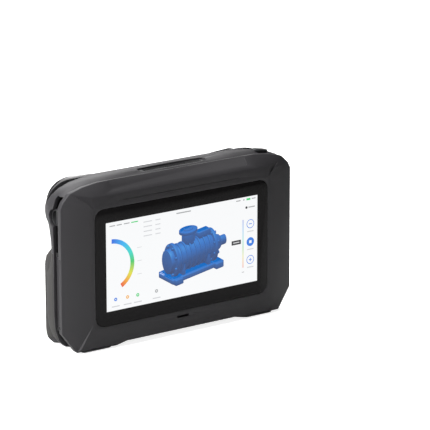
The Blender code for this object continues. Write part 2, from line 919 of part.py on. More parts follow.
def rear_housing(lug_bores, screw_bores):
    finish = material("rear_housing", housing_colour, 0.55)
    body = rear_form("rear_housing", 0.0, housing_front_depth, finish)
    hollow = rear_form("housing_hollow", housing_wall, housing_front_depth - overrun, skip=2)
    under_insert = rear_form("under_insert", insert_thickness + seat_gap)
    for side in (1, -1):
        zone = insert_zone(f"insert_recess_{side}", side, 0.0)
        cut(zone, under_insert, close_fit)
        cut(body, settle(zone), close_fit)
    cut(body, hollow, close_fit)
    channel = box_outline(-overall_width, overall_width, -overrun, channel_top_level)
    cut(body, slab("channel_space", channel, -overrun, channel_end_depth))
    cut(body, slab("grille_recess", grille_outline(seat_gap),
                   rear_face_depth - grille_thickness - seat_gap, rear_face_depth + overrun))
    cut(body, slab("grille_opening", grille_outline(-grille_ledge),
                   rear_face_depth - housing_wall - overrun, rear_face_depth + overrun))
    top = overall_height + overrun
    seat = overall_height - exhaust_sink - exhaust_thickness - seat_gap
    wide = exhaust_outline(exhaust_length / 2 + seat_gap, exhaust_width / 2 + seat_gap)
    cut(body, upright("exhaust_recess", wide, seat, top))
    narrow = exhaust_outline(exhaust_length / 2 - exhaust_ledge, exhaust_width / 2 - exhaust_ledge)
    cut(body, upright("exhaust_opening", narrow, frame_top_level + seat_gap, top))
    cut(body, button_prism("button_opening", button_length / 2 + button_clearance,
                           button_width / 2 + button_clearance, -housing_wall * 2, overrun * 2))
    for bore in lug_bores:
        cut(body, bore)
    cut(body, screw_bores)
    return body


def grip_inserts():
    for side, name in ((1, "grip_insert_right"), (-1, "grip_insert_left")):
        finish = material(name, rubber_colour, 0.85)
        body = rear_form(name, 0.0, housing_front_depth, finish)
        keep(body, insert_zone(f"{name}_zone", side, seat_gap), close_fit)
        cut(body, rear_form(f"{name}_core", insert_thickness), close_fit)


def intake_grille():
    finish = material("intake_grille", housing_colour, 0.6)
    body = slab("intake_grille", grille_outline(0.0), rear_face_depth - grille_thickness,
                rear_face_depth, finish)
    bm = bmesh.new()
    row_rise = grille_pitch * math.sqrt(3) / 2
    for row in range(grille_rows):
        shift = grille_pitch / 2 if row % 2 else 0.0
        columns = grille_columns - row % 2
        for column in range(columns):
            x = (column - (grille_columns - 1) / 2) * grille_pitch + shift
            z = grille_centre_level + (row - (grille_rows - 1) / 2) * row_rise
            hole = shifted(circle_outline(grille_hole_diameter / 2, grille_hole_steps), x, z)
            loft_bmesh(bm, [ring_at(hole, rear_face_depth - grille_thickness - overrun),
                            ring_at(hole, rear_face_depth + overrun)])
    cut(body, mesh_object("grille_holes", bm))


def exhaust_grille():
    finish = material("exhaust_grille", dark_colour, 0.6)
    top = overall_height - exhaust_sink
    body = upright("exhaust_grille", exhaust_outline(exhaust_length / 2, exhaust_width / 2),
                   top - exhaust_thickness, top, finish)
    step = exhaust_width / (exhaust_slot_count + 1)
    for index in range(exhaust_slot_count):
        offset = (index - (exhaust_slot_count - 1) / 2) * step
        outline = stadium_outline((exhaust_length - exhaust_slot_shorter) / 2, exhaust_slot_width / 2, 3)
        outline = [(x, y + at_depth(exhaust_centre_depth) + offset) for x, y in outline]
        cut(body, upright(f"exhaust_slot_{index}", outline, top - exhaust_thickness - overrun,
                          top + overrun))


# Scan button


def scan_button():
    finish = material("scan_button", dark_colour, 0.45)
    button = button_prism("scan_button", button_length / 2, button_width / 2,
                          button_proud - button_height, button_proud, finish)
    bevel(button, button_dome, 2, math.radians(60))
    switch_space("scan_switch", 0.0, material("scan_switch", metal_colour, 0.35, 0.8))


# Strap lugs


def strap_lugs():
    start = half_width - frame_sink - lug_length + overrun + seat_gap
    end = start + lug_length - seat_gap * 2
    for side, name in ((1, "strap_lug_right"), (-1, "strap_lug_left")):
        finish = material(name, dark_colour, 0.5)
        placement = (Matrix.Translation((0.0, at_depth(lug_depth), lug_level))
                     @ Matrix.Rotation(math.radians(-90 * side), 4, "Z"))
        cup = lathe(name, [(lug_radius, start), (lug_radius, end)], round_steps, placement, finish)
        inner = lug_radius - lug_wall
        cut(cup, lathe(f"{name}_hollow", [(inner, start + lug_floor), (inner, end + overrun)],
                       round_steps, placement))
        middle = (start + lug_floor + end) / 2 + lug_bar_radius / 2
        outline = circle_outline(lug_bar_radius, 8)
        rings = [[(side * middle + x, at_depth(lug_depth) + z, lug_level + y) for x, z in outline]
                 for y in (-inner - lug_wall / 2, inner + lug_wall / 2)]
        join(cup, loft(f"{name}_bar", rings))


# Port door


def usb_space(name, grow, reach, finish=None):
    outer = half_width - frame_sink
    return box(name, -(outer + reach), -(outer - socket_length - reach),
               socket_depth - usb_height / 2 - grow, socket_depth + usb_height / 2 + grow,
               usb_level - usb_width / 2 - grow, usb_level + usb_width / 2 + grow, finish)


def power_space(name, radius, reach, finish=None):
    outer = half_width - frame_sink
    placement = (Matrix.Translation((0.0, at_depth(socket_depth), power_level))
                 @ Matrix.Rotation(math.radians(90), 4, "Z"))
    return lathe(name, [(radius, outer - socket_length - reach), (radius, outer + reach)],
                 round_steps, placement, finish)


def sockets():
    metal = material("socket", metal_colour, 0.3, 1.0)
    outer = half_width - frame_sink
    usb = usb_space("usb_socket", 0.0, 0.0, metal)
    cut(usb, box("usb_mouth", -(outer + overrun), -(outer - socket_length + socket_wall * 2),
                 socket_depth - usb_height / 2 + socket_wall, socket_depth + usb_height / 2 - socket_wall,
                 usb_level - usb_width / 2 + socket_wall, usb_level + usb_width / 2 - socket_wall))
    power = power_space("power_socket", power_radius, 0.0, material("power_socket", chip_colour, 0.4))
    placement = (Matrix.Translation((0.0, at_depth(socket_depth), power_level))
                 @ Matrix.Rotation(math.radians(90), 4, "Z"))
    cut(power, lathe("power_mouth", [(power_bore_radius, outer - socket_length + socket_wall * 2),
                                     (power_bore_radius, outer + overrun)], round_steps, placement))


def port_door():
    finish = material("port_door", housing_colour, 0.6)
    outer = half_width - door_rim_sink
    knuckle = door_knuckle_radius
    low = door_pin_side + knuckle - door_thickness
    slope_start = bezel_depth - door_thickness / 2
    slope_end = bezel_depth + door_thickness
    knee = door_thickness * door_knee_share
    section = (
        (outer, door_front_depth), (outer, slope_start), (low + door_thickness, slope_end),
        (low + door_thickness, door_pin_depth), (low, door_pin_depth), (low, slope_end - knee),
        (outer - door_thickness, slope_start - knee), (outer - door_thickness, door_front_depth),
    )
    rings = [[(-x, at_depth(depth), z) for x, depth in section] for z in (door_low_level, door_high_level)]
    door = loft("port_door", rings, finish)
    join(door, pin_cylinder("door_knuckle", knuckle, door_low_level, door_high_level))
    cut(door, pin_cylinder("door_bore", door_bore_radius, door_low_level - overrun,
                           door_high_level + overrun))
    end = door_lug_length - seat_gap
    pin_cylinder("port_door_pin", door_pin_radius, door_low_level - end, door_high_level + end,
                 material("port_door_pin", metal_colour, 0.3, 1.0))


# Sensor head


def head_ring(depth_share, length_share, height_share):
    depth = rear_face_depth + seat_gap + depth_share * (head_depth - rear_face_depth - seat_gap)
    outline = stadium_outline(length_share * head_half_length, height_share * head_half_height,
                              head_end_steps)
    return ring_at(shifted(outline, 0.0, head_centre_level), depth)


def pod_face_depth(x):
    """How deep the toed-in face of a pod lies at a distance from the middle of the body."""
    return head_depth + (abs(x) - pod_inner_side) * math.tan(pod_toe_in)


def pod_centre():
    return pod_inner_side + pod_length / 2


def pod_outline(side, grow):
    outline = stadium_outline(pod_length / 2 + grow, pod_height / 2 + grow, pod_end_steps)
    return shifted(outline, side * pod_centre(), head_centre_level)


def pod_space(side):
    outline = pod_outline(side, pod_seam)
    return slab(f"pod_space_{side}", outline, rear_face_depth - overrun, overall_depth + overrun)


def window_outline(grow):
    outline = stadium_outline(window_half_length + grow, window_height / 2 + grow, head_end_steps)
    return shifted(outline, 0.0, head_centre_level)


def head_housing():
    finish = material("head_housing", housing_colour, 0.55)
    body = loft("head_housing", [head_ring(*shares) for shares in head_ring_shares], finish)
    for side in (1, -1):
        cut(body, pod_space(side))
    glass_rear = head_depth - window_recess - window_thickness
    cut(body, slab("window_recess", window_outline(seat_gap), glass_rear - seat_gap, head_depth + overrun))
    cut(body, slab("window_opening", window_outline(-window_lip), rear_face_depth - overrun,
                   head_depth + overrun))
    low = head_groove_level - head_groove_height / 2
    cut(body, box("head_groove", -head_groove_half_width, head_groove_half_width,
                  head_depth - head_groove_sink, head_depth + overrun, low, low + head_groove_height))


def sensor_outlines(kind, grow):
    """The outlines of the sensors of one kind, as they stand in the window."""
    outlines = []
    if kind == "laser_projector":
        for x_share, z_share, lean in rect_sensor_shares:
            half_x = rect_sensor_width / 2 + grow
            half_z = rect_sensor_height / 2 + grow
            outline = turned(box_outline(-half_x, half_x, -half_z, half_z), -lean * rect_sensor_lean)
            outlines.append((outline, x_share, z_share))
    if kind == "infrared_camera":
        half = square_sensor_size / 2 + grow
        for x_share, z_share in square_sensor_shares:
            outlines.append((box_outline(-half, half, -half, half), x_share, z_share))
    if kind == "range_sensor":
        outlines.append((circle_outline(round_sensor_diameter / 2 + grow, round_steps),
                         round_sensor_share, 0.0))
    return [shifted(outline, x_share * window_half_length, head_centre_level + z_share * window_height)
            for outline, x_share, z_share in outlines]


def window_and_sensors():
    glass = material("window_glass", gloss_colour, 0.08)
    glass_face = head_depth - window_recess
    pane = slab("window_glass", window_outline(0.0), glass_face - window_thickness, glass_face, glass)
    board_front = rear_face_depth + seat_gap
    board_rear = board_front + sensor_board_thickness
    face = glass_face - sensor_sink
    for kind in ("laser_projector", "infrared_camera", "range_sensor"):
        finish = material(kind, chip_colour, 0.25)
        holes = sensor_outlines(kind, seat_gap)
        solids = sensor_outlines(kind, 0.0)
        mouths = sensor_outlines(kind, -sensor_rim)
        for index, (hole, solid, mouth) in enumerate(zip(holes, solids, mouths)):
            name = f"{kind}_{index + 1}" if len(solids) > 1 else kind
            cut(pane, slab(f"{name}_hole", hole, rear_face_depth, head_depth))
            sensor = slab(name, solid, board_rear + seat_gap, face, finish)
            cut(sensor, slab(f"{name}_mouth", mouth, face - sensor_step, head_depth))
    outline = inset_outline(window_outline(-window_lip), seat_gap * 2)
    slab("sensor_board", outline, board_front, board_rear, material("sensor_board", board_colour, 0.5))


def pod_frame(side, offset, rise=0.0):
    """The local frame of a place on a pod's face: its Y axis points out of the face."""
    x = side * pod_centre() + offset * math.cos(pod_toe_in)
    depth = pod_face_depth(x)
    return (Matrix.Translation((x, at_depth(depth), head_centre_level + rise))
            @ Matrix.Rotation(side * pod_toe_in, 4, "Z"))


def pod_prism(name, side, outline_in_face, low, high, offset=0.0, rise=0.0, finish=None):
    """An outline in the plane of a pod's face, with a thickness square to that face."""
    placement = pod_frame(side, offset, rise)
    rings = [[placement @ Vector((x, height, z)) for x, z in outline_in_face] for height in (low, high)]
    return loft(name, rings, finish)


def led_outlines(grow):
    """The six light blocks round a stereo lens, each turned to face it."""
    outlines = []
    for index in range(led_count):
        angle = math.radians(90) + math.tau * index / led_count
        half = led_size / 2 + grow
        outline = turned(box_outline(-half, half, -half, half), angle)
        outlines.append(shifted(outline, lens_offset + led_ring_radius * math.cos(angle),
                                led_ring_radius * math.sin(angle)))
    return outlines


def emitter_outlines(grow):
    radius = emitter_diameter / 2 + grow
    return [shifted(circle_outline(radius, small_round_steps), emitter_offset, rise)
            for rise in (emitter_rise, -emitter_rise)]


def light_board_outline(grow):
    """The board of a pod, a smaller stadium than its face."""
    inset = pod_rim + light_board_inset - grow
    return stadium_outline(pod_length / 2 - inset, pod_height / 2 - inset, pod_end_steps)


def camera_board_box(name, side, grow, front, rear, finish=None):
    half_x = camera_board_width / 2 + grow
    half_z = camera_board_height / 2 + grow
    centre = side * pod_centre()
    return box(name, centre - half_x, centre + half_x, front, rear,
               head_centre_level - half_z, head_centre_level + half_z, finish)


def pod_wedge(name, side, finish, front, rear_offset):
    """A stadium with straight walls, from one depth to a toed-in face that lies below the pod's face.

    Without a front depth it starts one cover's thickness below the pod's face.
    """
    outline = pod_outline(side, 0.0)
    base = []
    for x, z in outline:
        start = pod_face_depth(x) - cover_thickness if front is None else front
        base.append((x, at_depth(start), z))
    face = [(x, at_depth(pod_face_depth(x) - rear_offset), z) for x, z in outline]
    return loft(name, [base, face], finish)


def camera_pod(side, label, screw_bores):
    lens_place = pod_frame(side, lens_offset)
    colour_place = pod_frame(side, colour_lens_offset)
    lens_radius = lens_diameter / 2
    colour_radius = colour_lens_diameter / 2
    lens_bore = lathe(f"lens_bore_{label}",
                      [(lens_radius + seat_gap, -lens_length - seat_gap), (lens_radius + seat_gap, overrun)],
                      round_steps, lens_place)
    colour_bore = lathe(f"colour_bore_{label}",
                        [(colour_radius + seat_gap, -colour_lens_length - seat_gap),
                         (colour_radius + seat_gap, overrun)], round_steps, colour_place)

    pod = pod_wedge(f"camera_pod_{label}", side, material(f"camera_pod_{label}", gloss_colour, 0.12),
                    rear_face_depth + seat_gap, cover_thickness + seat_gap)
    pocket_floor = -(cover_thickness + seat_gap * 2 + light_board_thickness)
    cut(pod, pod_prism(f"light_pocket_{label}", side, light_board_outline(seat_gap), pocket_floor, overrun))
    cut(pod, lens_bore)
    cut(pod, colour_bore)
    board_rear = rear_face_depth + seat_gap + camera_board_thickness
    cut(pod, camera_board_box(f"board_pocket_{label}", side, seat_gap, rear_face_depth - overrun,
                              board_rear + seat_gap))
    cut(pod, screw_bores)

    cover_finish = material(f"pod_cover_{label}", gloss_colour, 0.06)
    cover = pod_wedge(f"pod_cover_{label}", side, cover_finish, None, 0.0)
    bevel(cover, pod_bevel, 1, math.radians(60))
    cut(cover, lens_bore)
    cut(cover, colour_bore)
    for index, outline in enumerate(led_outlines(seat_gap)):
        cut(cover, pod_prism(f"led_hole_{label}_{index}", side, outline, -cover_thickness * 2, overrun))
    for index, outline in enumerate(emitter_outlines(seat_gap)):
        cut(cover, pod_prism(f"emitter_hole_{label}_{index}", side, outline, -cover_thickness * 2, overrun))

    board_low = pocket_floor + seat_gap
    board_high = board_low + light_board_thickness
    board = pod_prism(f"light_board_{label}", side, light_board_outline(0.0), board_low, board_high,
                      finish=material(f"light_board_{label}", led_colour, 0.35))
    cut(board, lens_bore)
    cut(board, colour_bore)
    inside = (board_low + board_high) / 2
    for index, outline in enumerate(led_outlines(0.0)):
        join(board, pod_prism(f"led_{label}_{index}", side, outline, inside, -led_sink))
    for index, outline in enumerate(emitter_outlines(0.0)):
        join(board, pod_prism(f"emitter_{label}_{index}", side, outline, inside, -led_sink))

    glass_radius = lens_glass_diameter / 2
    floor = lens_proud - lens_funnel_depth
    barrel = lathe(f"stereo_lens_{label}", [(lens_radius, -lens_length), (lens_radius, lens_proud)],
                   round_steps, lens_place, material(f"stereo_lens_{label}", dark_colour, 0.35))
    mouth = [(glass_radius + seat_gap, floor - lens_glass_thickness - seat_gap),
             (glass_radius + seat_gap, floor), (lens_radius - lens_rim, lens_proud),
             (lens_radius - lens_rim, lens_proud + overrun)]
    cut(barrel, lathe(f"lens_mouth_{label}", mouth, round_steps, lens_place))
    dome = [(glass_radius * radius, floor - lens_glass_thickness * sink) for radius, sink in lens_dome_shares]
    lathe(f"stereo_glass_{label}", dome, round_steps, lens_place,
          material(f"stereo_glass_{label}", lens_colour, 0.05))

    small = lathe(f"colour_camera_{label}",
                  [(colour_radius, -colour_lens_length), (colour_radius, lens_proud / 2)],
                  round_steps, colour_place, material(f"colour_camera_{label}", dark_colour, 0.3))
    cone = [(colour_radius * colour_cone_share, -lens_funnel_depth),
            (colour_radius - lens_rim / 2, lens_proud / 2),
            (colour_radius - lens_rim / 2, overrun)]
    cut(small, lathe(f"colour_mouth_{label}", cone, round_steps, colour_place))
    camera_board_box(f"camera_board_{label}", side, 0.0, rear_face_depth + seat_gap, board_rear,
                     material(f"camera_board_{label}", board_colour, 0.5))


def sensor_bench(screw_bores):
    finish = material("sensor_bench", metal_colour, 0.4, 1.0)
    front = bench_front_depth()
    outline = rounded_outline(-bench_half_width, bench_half_width, head_centre_level - bench_height / 2,
                              head_centre_level + bench_height / 2, grille_corner, 3)
    bench = slab("sensor_bench", outline, front, front + bench_thickness, finish)
    keep(bench, rear_form("bench_clearance", housing_wall + seat_gap, skip=2), close_fit)
    for index, (place, length) in enumerate(bench_slot_shares):
        slot = stadium_outline(length * bench_half_width / 2, bench_slot_height / 2, 4)
        slot = shifted(slot, place * bench_half_width, head_centre_level)
        cut(bench, slab(f"bench_slot_{index}", slot, front - overrun, front + bench_thickness + overrun))
    cut(bench, screw_bores)
    screw_finish = material("bench_screw", metal_colour, 0.3, 1.0)
    under = front - seat_gap
    tip = rear_face_depth + bench_screw_reach
    for index, (x, z) in enumerate(bench_screw_places()):
        head = shifted(circle_outline(screw_head_radius, small_round_steps), x, z)
        shank = shifted(circle_outline(screw_radius, small_round_steps), x, z)
        loft(f"bench_screw_{index + 1}",
             [ring_at(head, under - screw_head_height), ring_at(head, under), ring_at(shank, under),
              ring_at(shank, tip)], screw_finish)


# Electronics


def mainboard():
    outline = rounded_outline(-board_half_width, board_half_width, board_low_level, board_high_level,
                              glass_corner / 2, 3)
    front = board_front_depth()
    rear = board_rear_depth()
    board = slab("mainboard", outline, front, rear, material("mainboard", board_colour, 0.5))
    half = chip_size / 2
    chip_front = rear + seat_gap
    box("processor_chip", -half, half, chip_front, chip_front + chip_thickness,
        grille_centre_level - half, grille_centre_level + half, material("processor_chip", chip_colour, 0.4))
    for index in range(memory_count):
        x = (index - (memory_count - 1) / 2) * memory_spacing
        chip = shifted(box_outline(-memory_width / 2, memory_width / 2, -memory_length / 2,
                                   memory_length / 2), x, memory_level)
        join(board, slab(f"memory_chip_{index}", chip, rear - board_thickness / 2, rear + chip_thickness))


def sink_front_depth():
    return board_rear_depth() + seat_gap + chip_thickness + seat_gap


def fan_front_depth():
    return rear_face_depth - housing_wall - seat_gap - fan_thickness


def heat_sink():
    finish = material("heat_sink", metal_colour, 0.35, 1.0)
    low = grille_centre_level - sink_height / 2
    high = grille_centre_level + sink_height / 2
    front = sink_front_depth()
    base_rear = front + sink_base
    fin_rear = fan_front_depth() - seat_gap
    sink = box("heat_sink", -sink_half_width, sink_half_width, front, fin_rear, low, high, finish)
    pitch = (sink_half_width * 2 - sink_fin_thickness) / (sink_fin_count - 1)
    bm = bmesh.new()
    for index in range(sink_fin_count - 1):
        left = -sink_half_width + sink_fin_thickness + index * pitch
        gap = box_outline(left, left + pitch - sink_fin_thickness, low - overrun, high + overrun)
        loft_bmesh(bm, [ring_at(gap, base_rear), ring_at(gap, fin_rear + overrun)])
    cut(sink, mesh_object("fin_gaps", bm))
    reach_x = sink_half_width - sink_post_radius
    reach_z = sink_height / 2 - sink_post_radius
    for index, (x, z) in enumerate(((1, 1), (1, -1), (-1, 1), (-1, -1))):
        post = shifted(circle_outline(sink_post_radius, small_round_steps), x * reach_x,
                       grille_centre_level + z * reach_z)
        join(sink, slab(f"sink_post_{index}", post, board_rear_depth() + seat_gap, front + sink_base / 2))


def fan():
    finish = material("fan_frame", chip_colour, 0.5)
    front = fan_front_depth()
    rear = front + fan_thickness
    centre = grille_centre_level
    half = fan_size / 2
    outline = rounded_outline(-half, half, centre - half, centre + half, fan_corner, 3)
    frame = slab("fan_frame", outline, front, rear, finish)
    bore = shifted(circle_outline(fan_bore_radius, round_steps * 2), 0.0, centre)
    cut(frame, slab("fan_bore", bore, front - overrun, rear + overrun))
    strut_rear = front + fan_strut_thickness
    disc = shifted(circle_outline(fan_hub_radius, round_steps), 0.0, centre)
    strut_front = front + fan_strut_inset
    hub = slab("fan_motor", disc, strut_front, strut_rear)
    for index in range(fan_strut_count):
        angle = math.tau * index / fan_strut_count
        reach = fan_bore_radius + fan_strut_width / 2
        strut = turned(box_outline(0.0, reach, -fan_strut_width / 2, fan_strut_width / 2), angle)
        join(hub, slab(f"fan_strut_{index}", shifted(strut, 0.0, centre), strut_front + fan_strut_inset,
                       strut_rear - fan_strut_inset))
    shaft = shifted(circle_outline(fan_shaft_radius, small_round_steps), 0.0, centre)
    join(hub, slab("fan_shaft", shaft, front + fan_strut_thickness / 2, rear - fan_thickness / 4))
    join(frame, settle(hub))

    blade_finish = material("fan_impeller", chip_colour, 0.4)
    wheel_front = strut_rear + fan_running_gap
    wheel_rear = rear - fan_running_gap
    hub_outline = shifted(circle_outline(fan_hub_radius, round_steps), 0.0, centre)
    wheel = slab("fan_impeller", hub_outline, wheel_front, wheel_rear, blade_finish)
    tip = fan_bore_radius - fan_tip_gap
    middle = (wheel_front + wheel_rear) / 2
    chord = (wheel_rear - wheel_front) / math.cos(fan_blade_pitch) * fan_chord_share
    root = fan_hub_radius * fan_root_share
    for index in range(fan_blade_count):
        bm = bmesh.new()
        bmesh.ops.create_cube(bm, size=1.0)
        length = tip - root
        bm.transform(Matrix.Diagonal((length, chord, fan_blade_thickness, 1.0)))
        bm.transform(Matrix.Rotation(fan_blade_pitch, 4, "X"))
        bm.transform(Matrix.Translation((root + length / 2, 0.0, 0.0)))
        bm.transform(Matrix.Rotation(math.tau * index / fan_blade_count, 4, "Y"))
        bm.transform(Matrix.Translation((0.0, at_depth(middle), centre)))
        join(wheel, mesh_object(f"fan_blade_{index}", bm))
    keep(wheel, slab("fan_sweep", shifted(circle_outline(tip, round_steps * 2), 0.0, centre),
                     wheel_front, wheel_rear))
    hole = shifted(circle_outline(fan_bearing_radius, small_round_steps), 0.0, centre)
    cut(wheel, slab("fan_bearing", hole, wheel_front - overrun, rear - fan_thickness / 4 + seat_gap))
    shift = Vector((0.0, at_depth(middle), centre))
    settle(wheel)
    wheel.data.transform(Matrix.Translation(-shift))
    wheel.location = shift


def batteries():
    for side, label in ((1, "right"), (-1, "left")):
        centre = side * battery_side
        half = battery_width / 2
        rear = battery_front_depth + battery_thickness
        high = battery_low_level + battery_height
        outline = rounded_outline(centre - half, centre + half, battery_low_level, high, battery_corner, 3)
        slab(f"battery_{label}", outline, battery_front_depth, rear,
             material(f"battery_{label}", battery_colour, 0.4))
        grow = seat_gap + tray_wall
        tray_outline = rounded_outline(centre - half - grow, centre + half + grow, battery_low_level - grow,
                                       high + grow, battery_corner + grow, 3)
        tray = slab(f"battery_tray_{label}", tray_outline, plate_rear_depth() + seat_gap,
                    battery_front_depth + tray_reach, material(f"battery_tray_{label}", dark_colour, 0.6))
        pocket = rounded_outline(centre - half - seat_gap, centre + half + seat_gap,
                                 battery_low_level - seat_gap, high + seat_gap, battery_corner + seat_gap, 3)
        keep(tray, frame_form(f"tray_clearance_{label}", frame_wall + seat_gap, frame_plate + seat_gap,
                              overall_depth), close_fit)
        cut(tray, slab(f"tray_pocket_{label}", pocket, battery_front_depth - seat_gap, rear))
        inner = rounded_outline(centre - half + tray_wall, centre + half - tray_wall,
                                battery_low_level + tray_wall, high - tray_wall, battery_corner, 3)
        cut(tray, slab(f"tray_hollow_{label}", inner, plate_rear_depth(),
                       battery_front_depth - seat_gap - tray_wall))


def feet():
    for side, label in ((1, "right"), (-1, "left")):
        low_x = foot_inner_side if side > 0 else -foot_outer_side
        high_x = foot_outer_side if side > 0 else -foot_inner_side
        low_y = at_depth(foot_front_depth)
        high_y = at_depth(foot_rear_depth)
        outline = rounded_outline(low_x, high_x, low_y, high_y, foot_corner, 3)
        top = bezel_edge_shares[3][1] * overall_height - seat_gap
        upright(f"foot_{label}", outline, 0.0, top, material(f"foot_{label}", foot_colour, 0.8))


def build():
    lug_bores = [lug_bore(f"lug_bore_{side}", side, lug_radius + seat_gap) for side in (1, -1)]
    screw_bores = bench_screw_bores()
    bezel()
    screen()
    middle_frame(lug_bores)
    rear_housing(lug_bores, screw_bores)
    grip_inserts()
    intake_grille()
    exhaust_grille()
    scan_button()
    strap_lugs()
    sockets()
    port_door()
    head_housing()
    window_and_sensors()
    for side, label in ((1, "right"), (-1, "left")):
        camera_pod(side, label, screw_bores)
    sensor_bench(screw_bores)
    mainboard()
    heat_sink()
    fan()
    batteries()
    feet()


build()
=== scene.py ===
# %% [markdown]
# # Dressing a hand-held three-d scanner
# The imported model already has every piece of the scanner at its real size. This script gives
# those pieces their finish: textured housing, gloss black glass, rubber grips, coated lenses with
# painted reflections and a lit screen. We start by loading the model and noting how much room it
# takes.

# %% Load the imported scanner
import json
import math

import bmesh
import bpy
from mathutils import Matrix, Vector


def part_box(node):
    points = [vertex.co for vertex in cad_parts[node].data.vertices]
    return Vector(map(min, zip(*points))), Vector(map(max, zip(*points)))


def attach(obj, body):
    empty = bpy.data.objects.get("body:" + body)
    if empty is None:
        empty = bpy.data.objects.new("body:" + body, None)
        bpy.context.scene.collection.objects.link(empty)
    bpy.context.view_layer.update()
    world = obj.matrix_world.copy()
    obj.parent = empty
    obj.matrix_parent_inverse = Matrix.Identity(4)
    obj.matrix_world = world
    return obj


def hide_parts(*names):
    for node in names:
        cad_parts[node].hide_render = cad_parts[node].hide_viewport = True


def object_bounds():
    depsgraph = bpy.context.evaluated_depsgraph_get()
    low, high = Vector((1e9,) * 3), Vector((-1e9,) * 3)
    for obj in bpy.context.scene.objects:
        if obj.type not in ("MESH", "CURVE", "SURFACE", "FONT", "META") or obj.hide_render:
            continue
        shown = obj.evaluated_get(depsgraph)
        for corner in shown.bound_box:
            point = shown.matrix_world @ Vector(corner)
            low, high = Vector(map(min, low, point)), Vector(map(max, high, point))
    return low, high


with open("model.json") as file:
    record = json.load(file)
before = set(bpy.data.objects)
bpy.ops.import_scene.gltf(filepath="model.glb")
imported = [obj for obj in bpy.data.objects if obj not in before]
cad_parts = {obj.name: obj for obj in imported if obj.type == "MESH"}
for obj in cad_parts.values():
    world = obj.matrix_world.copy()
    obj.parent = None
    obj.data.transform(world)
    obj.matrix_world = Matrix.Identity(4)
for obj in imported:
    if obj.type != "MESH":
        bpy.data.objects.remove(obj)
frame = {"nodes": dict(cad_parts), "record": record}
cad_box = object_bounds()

mm = 0.001
print("room taken by the model:", cad_box)

# %% [markdown]
# ## The camera
# The photograph was taken from the left of the screen and from a little above. A camera solved
# from the corners of the lit screen gives its place, how far it turns and tilts, and a long
# lens. We make the camera first, so that each render can be held against the photograph.

# %% Camera
camera_place = Vector((-1.0884, -1.6310, 0.65435))
camera_turn = math.radians(34.815)
camera_tilt = math.radians(16.124)
photo_width = 430
focal_in_pixels = 2712.5
film_width = 36.0

bpy.ops.object.camera_add(location=camera_place,
                          rotation=(math.pi / 2 - camera_tilt, 0.0, -camera_turn))
camera = bpy.context.object
camera.data.sensor_width = film_width
camera.data.lens = focal_in_pixels / photo_width * film_width
camera.data.clip_start = 0.05
bpy.context.scene.camera = camera
print("lens in millimetres:", round(camera.data.lens, 1))

# %% [markdown]
# ## Floor, lamps and background
# A product photo like this one has a white sweep and big soft lamps. The floor is a plain pale
# plane that glows a little, but only for the camera. The camera, and light that passes through
# glass, meets a white background, while the light that the background gives to the object
# stays low, so dark plastic keeps its colour.

# %% Floor
floor_glow = 0.84
bpy.ops.mesh.primitive_plane_add(size=6.0)
floor = bpy.context.object
floor.name = "floor"
floor_paint = bpy.data.materials.new("floor")
floor_paint.use_nodes = True
floor_tree = floor_paint.node_tree
floor_shader = floor_tree.nodes["Principled BSDF"]
floor_shader.inputs["Base Color"].default_value = (0.50, 0.50, 0.50, 1.0)
floor_shader.inputs["Roughness"].default_value = 0.9
floor_shader.inputs["Emission Color"].default_value = (1.0, 1.0, 1.0, 1.0)
floor_paths = floor_tree.nodes.new("ShaderNodeLightPath")
floor_level = floor_tree.nodes.new("ShaderNodeMath")
floor_level.operation = "MULTIPLY"
floor_level.inputs[1].default_value = floor_glow
floor_tree.links.new(floor_paths.outputs["Is Camera Ray"], floor_level.inputs[0])
floor_tree.links.new(floor_level.outputs[0], floor_shader.inputs["Emission Strength"])
floor.data.materials.append(floor_paint)

# %% World
ambient_light = 0.15
world = bpy.data.worlds.new("studio")
bpy.context.scene.world = world
world.use_nodes = True
sky = world.node_tree
background = sky.nodes["Background"]
paths = sky.nodes.new("ShaderNodeLightPath")
seen = sky.nodes.new("ShaderNodeMath")
seen.operation = "MAXIMUM"
sky.links.new(paths.outputs["Is Camera Ray"], seen.inputs[0])
sky.links.new(paths.outputs["Is Transmission Ray"], seen.inputs[1])
level = sky.nodes.new("ShaderNodeMapRange")
level.inputs["To Min"].default_value = ambient_light
level.inputs["To Max"].default_value = 1.0
sky.links.new(seen.outputs[0], level.inputs["Value"])
sky.links.new(level.outputs["Result"], background.inputs["Strength"])
background.inputs["Color"].default_value = (1.0, 1.0, 1.0, 1.0)
bpy.context.scene.view_settings.view_transform = "Standard"


# %% Lamps
def soft_lamp(name, place, target, size, power):
    """A square area lamp at a place, turned to face a target."""
    turn = (Vector(place) - Vector(target)).to_track_quat("Z", "Y").to_euler()
    bpy.ops.object.light_add(type="AREA", location=place, rotation=turn)
    lamp = bpy.context.object
    lamp.name = name
    lamp.data.size = size
    lamp.data.energy = power
    return lamp


body_middle = (cad_box[0] + cad_box[1]) / 2
soft_lamp("lamp_above", (0.0, 0.30, 1.2), body_middle, 0.8, 18.0)
soft_lamp("lamp_left", (-1.30, 0.10, 0.30), body_middle, 0.5, 12.0)
soft_lamp("lamp_corner", (-0.95, -0.14, 0.90), body_middle, 0.4, 26.0)
soft_lamp("lamp_front", (-0.9, -1.5, 0.6), body_middle, 0.8, 2.5)
soft_lamp("lamp_behind", (0.5, 1.5, 0.9), body_middle, 0.9, 10.0)


# %% [markdown]
# ## Shader maths as plain expressions
# A node tree is easier to read as a formula. The small class below wraps one socket. Adding or
# multiplying two of them puts the matching Math node in the tree, so a mask can be written as
# `1 - spots * 0.3`. Every other node comes from one method of `Paint`.

